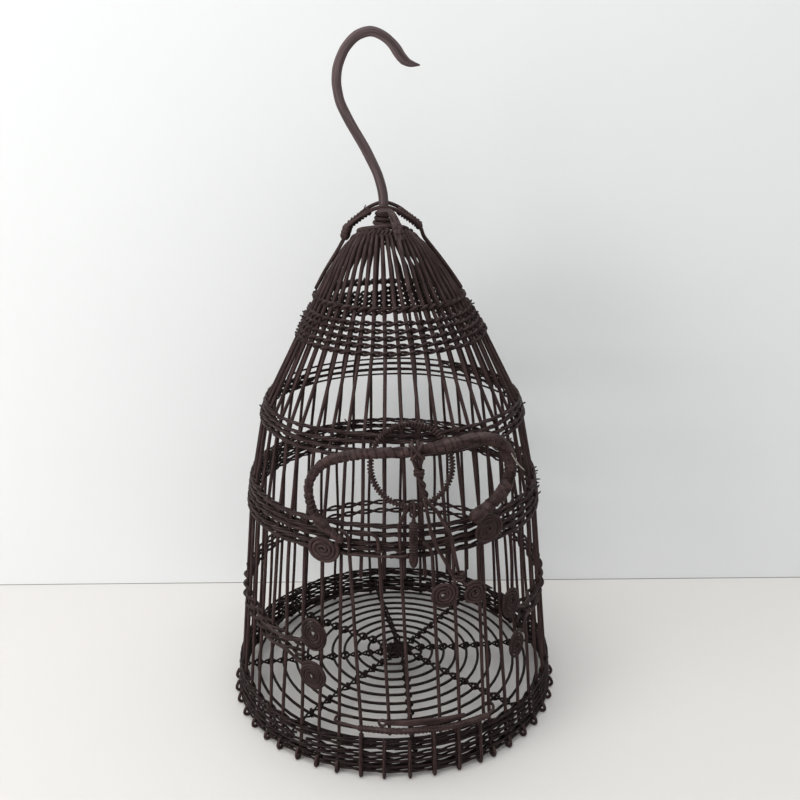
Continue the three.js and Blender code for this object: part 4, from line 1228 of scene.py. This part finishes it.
# The latch strap is one cane, doubled over the hoop. Its two ends hang down in front of the band,
# are bound together and finish in rosettes.
latch_azimuth = 6.9
latch_span = 13
latch_length = 125 * mm
latch_reach = 154.9 * mm
latch_top = 295 * mm
latch_cane = 1.42 * mm
latch_knot_cane = 1.5 * mm
latch_binding_cane = 1.15 * mm
latch_binding_depth = 2.75 * mm
latch_binding_pitch = 2.5 * mm
latch_binds = [(0.03, 0.12, 3.3, 1.6, 0.9), (0.96, 0.855, 4.3, 2.2, 0.35)]
latch_left = [(0.22, 0.4), (0.3, 0.53), (0.45, 0.64), (0.69, 0.77), (0.88, 0.88)]
latch_right = [(0.42, 0.38), (0.59, 0.476), (0.75, 0.56), (0.87, 0.72), (1, 0.885), (1.13, 0.93)]


def latch_point(share, drop, out=0.0):
    azimuth = latch_azimuth + share * latch_span
    return round_point(azimuth, latch_reach + out, latch_top - drop * latch_length)


def latch_twist(hand):
    """The two ends are twisted on each other before they part."""
    turn = np.linspace(0.2, 2.1 * 2 * np.pi, 26)
    drop = np.interp(turn, [0, 13.2], [0.085, 0.34])
    share = np.interp(turn, [0, 13.2], [0, 0.22]) - hand * 0.045 * np.cos(turn)
    out = hand * 1.45 * mm * np.sin(turn)
    return [latch_point(*place) for place in zip(share, drop, out)]


def latch_rosette(share, drop, **form):
    right = sideways(latch_azimuth + share * latch_span)
    coil = dict(hand=-1, cane=latch_cane, **form)
    return rosette(latch_point(share, drop), right, **coil)


away = abs(azimuth_of(hoop_route) - latch_azimuth)
away[hoop_route[:, 2] < 280 * mm] = np.inf
nearest = np.argmin(away)
bar_centre = hoop_route[nearest]
bar_way = unit(hoop_route[nearest + 8] - hoop_route[nearest - 8])
latch_out = outward(latch_azimuth)
latch_across = sideways(latch_azimuth)
bar_up = unit(np.cross(latch_out, bar_way))
loop_reach = 6.3 * mm
loop_half = 4.2 * mm
knot_half = 4.4 * mm


def round_bar(turn, reach, across):
    """Places round the hoop's bar. Turn 0 is in front of it, and a quarter turn on is above it."""
    return circle(bar_centre, latch_out, bar_up, turn, reach) + bar_way * across[:, None]


loop_turn = np.linspace(-0.3, 3.6 * np.pi, 70)
loop = round_bar(loop_turn, loop_reach, np.linspace(-loop_half, loop_half, 70))
knot_share = np.linspace(0, np.pi, 24)
knots = []
for hand in (-1, 1):
    reach = loop_reach + (2.1 + 0.5 * hand) * mm * np.sin(knot_share) ** 0.5
    route = round_bar(np.linspace(-0.85, 1.15, 24), reach, hand * knot_half * np.cos(knot_share))
    knots.append(strand(route, latch_knot_cane, latch_across))
left_coil = latch_rosette(0.61, 0.972, radius=11.5 * mm, start=50)
right_coil = latch_rosette(1.37, 1.0, radius=10.3 * mm, start=130)
left_run = latch_twist(1) + [latch_point(*share) for share in latch_left]
right_run = latch_twist(-1) + [latch_point(*share) for share in latch_right]
route = np.vstack([left_coil[::-1], left_run[::-1], loop, right_run, right_coil])
canes = [strand(rounded(route, 0.6 * mm, 2 * mm), latch_cane, latch_out), *knots]
for share, drop, across, turns, lean in latch_binds:
    turn = np.linspace(0, turns * 2 * np.pi, int(turns * 22))
    sides = latch_across, latch_out
    route = circle(latch_point(share, drop), *sides, turn, across * mm, latch_binding_depth)
    route[:, 2] += (turn / (2 * np.pi) - turns / 2) * latch_binding_pitch
    route[:, 2] += lean * mm * np.cos(turn)
    canes.append(strand(route, latch_binding_cane, upward))
add_piece(
    "knotted_latch_strap", canes, wrapped_finish, "latch_strap", "wrapped_cane", "latch_strap"
)

# The studio: a white table, and a pale wall close behind the cage with a thin dark strip of painted
# shadow at its foot. A large window on the left and the sky from above give soft light.
table_tone = (0.72, 0.693, 0.67, 1)
wall_tone = (0.79, 0.8, 0.8, 1)
# A thin dark strip at the wall's foot: painted shadow in the joint of table and wall.
gap_shadow_tone = (0.25, 0.24, 0.23, 1)
wall_depth = 0.178
gap_depth = 0.1778
gap_height = 0.0009
stage_half = 3

def stage_plane(name, corners, tone):
    mesh = bpy.data.meshes.new(name)
    mesh.from_pydata(corners, [], [(0, 1, 2, 3)])
    material = bpy.data.materials.new(f"{name}_paint")
    material.use_nodes = True
    tree = material.node_tree
    shader = tree.nodes["Principled BSDF"]
    places = tree.nodes.new("ShaderNodeTexCoord")
    cloud = noise_of(tree, places.outputs["Object"], 3.0, detail=2.0)
    darker = tuple(0.965 * value for value in tone[:3])
    tree.links.new(mixed(tree, cloud, (*darker, 1), tone), shader.inputs["Base Color"])
    shader.inputs["Roughness"].default_value = 0.7
    clear = tree.nodes.new("ShaderNodeBsdfTransparent").outputs[0]
    behind = tree.nodes.new("ShaderNodeNewGeometry").outputs["Backfacing"]
    inputs = {0: behind, 1: shader.outputs[0], 2: clear}
    choice = add_node(tree, "ShaderNodeMixShader", inputs)
    tree.links.new(choice.outputs[0], tree.nodes["Material Output"].inputs["Surface"])
    mesh.materials.append(material)
    plane = bpy.data.objects.new(name, mesh)
    bpy.context.scene.collection.objects.link(plane)


def across_stage(near, far):
    """Corners of a plane from side to side, from its (depth, height) on one edge to the other."""
    left, right = [[(x, *edge) for edge in (near, far)] for x in (-stage_half, stage_half)]
    return [left[0], right[0], right[1], left[1]]


stage_plane("table", across_stage((-stage_half, 0), (wall_depth, 0)), table_tone)
stage_plane("wall", across_stage((wall_depth, -0.5), (wall_depth, 3)), wall_tone)
stage_plane("wall_gap_shadow", across_stage((gap_depth, 0), (gap_depth, gap_height)), gap_shadow_tone)

world = bpy.data.worlds.new("daylight")
world.use_nodes = True
background = world.node_tree.nodes["Background"]
background.inputs["Color"].default_value = (0.97, 0.99, 1.0, 1)
background.inputs["Strength"].default_value = 0.62
bpy.context.scene.world = world
bpy.context.scene.view_settings.view_transform = "Standard"


def soft_light(name, place, aim, size, power, tone):
    lamp = bpy.data.lights.new(name, "AREA")
    lamp.size = size
    lamp.energy = power
    lamp.color = tone
    holder = bpy.data.objects.new(name, lamp)
    holder.location = place
    gaze = Vector(aim) - Vector(place)
    holder.rotation_euler = gaze.to_track_quat("-Z", "Y").to_euler()
    bpy.context.scene.collection.objects.link(holder)


soft_light("window", (-1.8, -1.3, 0.85), (0.1, 0, 0.25), 1.1, 23.5, (1.0, 0.985, 0.965))
soft_light("sky", (-0.2, -0.5, 2.2), (0, 0, 0.2), 1.8, 26, (0.97, 0.99, 1.0))

# The camera stands close to the cage, about half a metre over the table, and looks down at it, as
# in the photo.
camera_place = (0, -0.782, 0.544)
camera_pitch = math.radians(18.195)
camera_yaw = math.radians(0.511)
camera_roll = math.radians(-0.2895)
camera_lens = 40.65
ahead = math.cos(camera_pitch)
gaze = [math.sin(camera_yaw) * ahead, math.cos(camera_yaw) * ahead, -math.sin(camera_pitch)]
gaze = np.array(gaze)
level = np.array([math.cos(camera_yaw), -math.sin(camera_yaw), 0])
above = np.cross(level, gaze)
right = math.cos(camera_roll) * level + math.sin(camera_roll) * above
above = np.cross(right, gaze)
lens = bpy.data.cameras.new("camera")
lens.lens = camera_lens
lens.sensor_width = 36
camera = bpy.data.objects.new("camera", lens)
turned = Matrix([[*column] for column in np.stack([right, above, -gaze], axis=1)])
camera.matrix_world = Matrix.Translation(camera_place) @ turned.to_4x4()
bpy.context.scene.collection.objects.link(camera)
bpy.context.scene.camera = camera
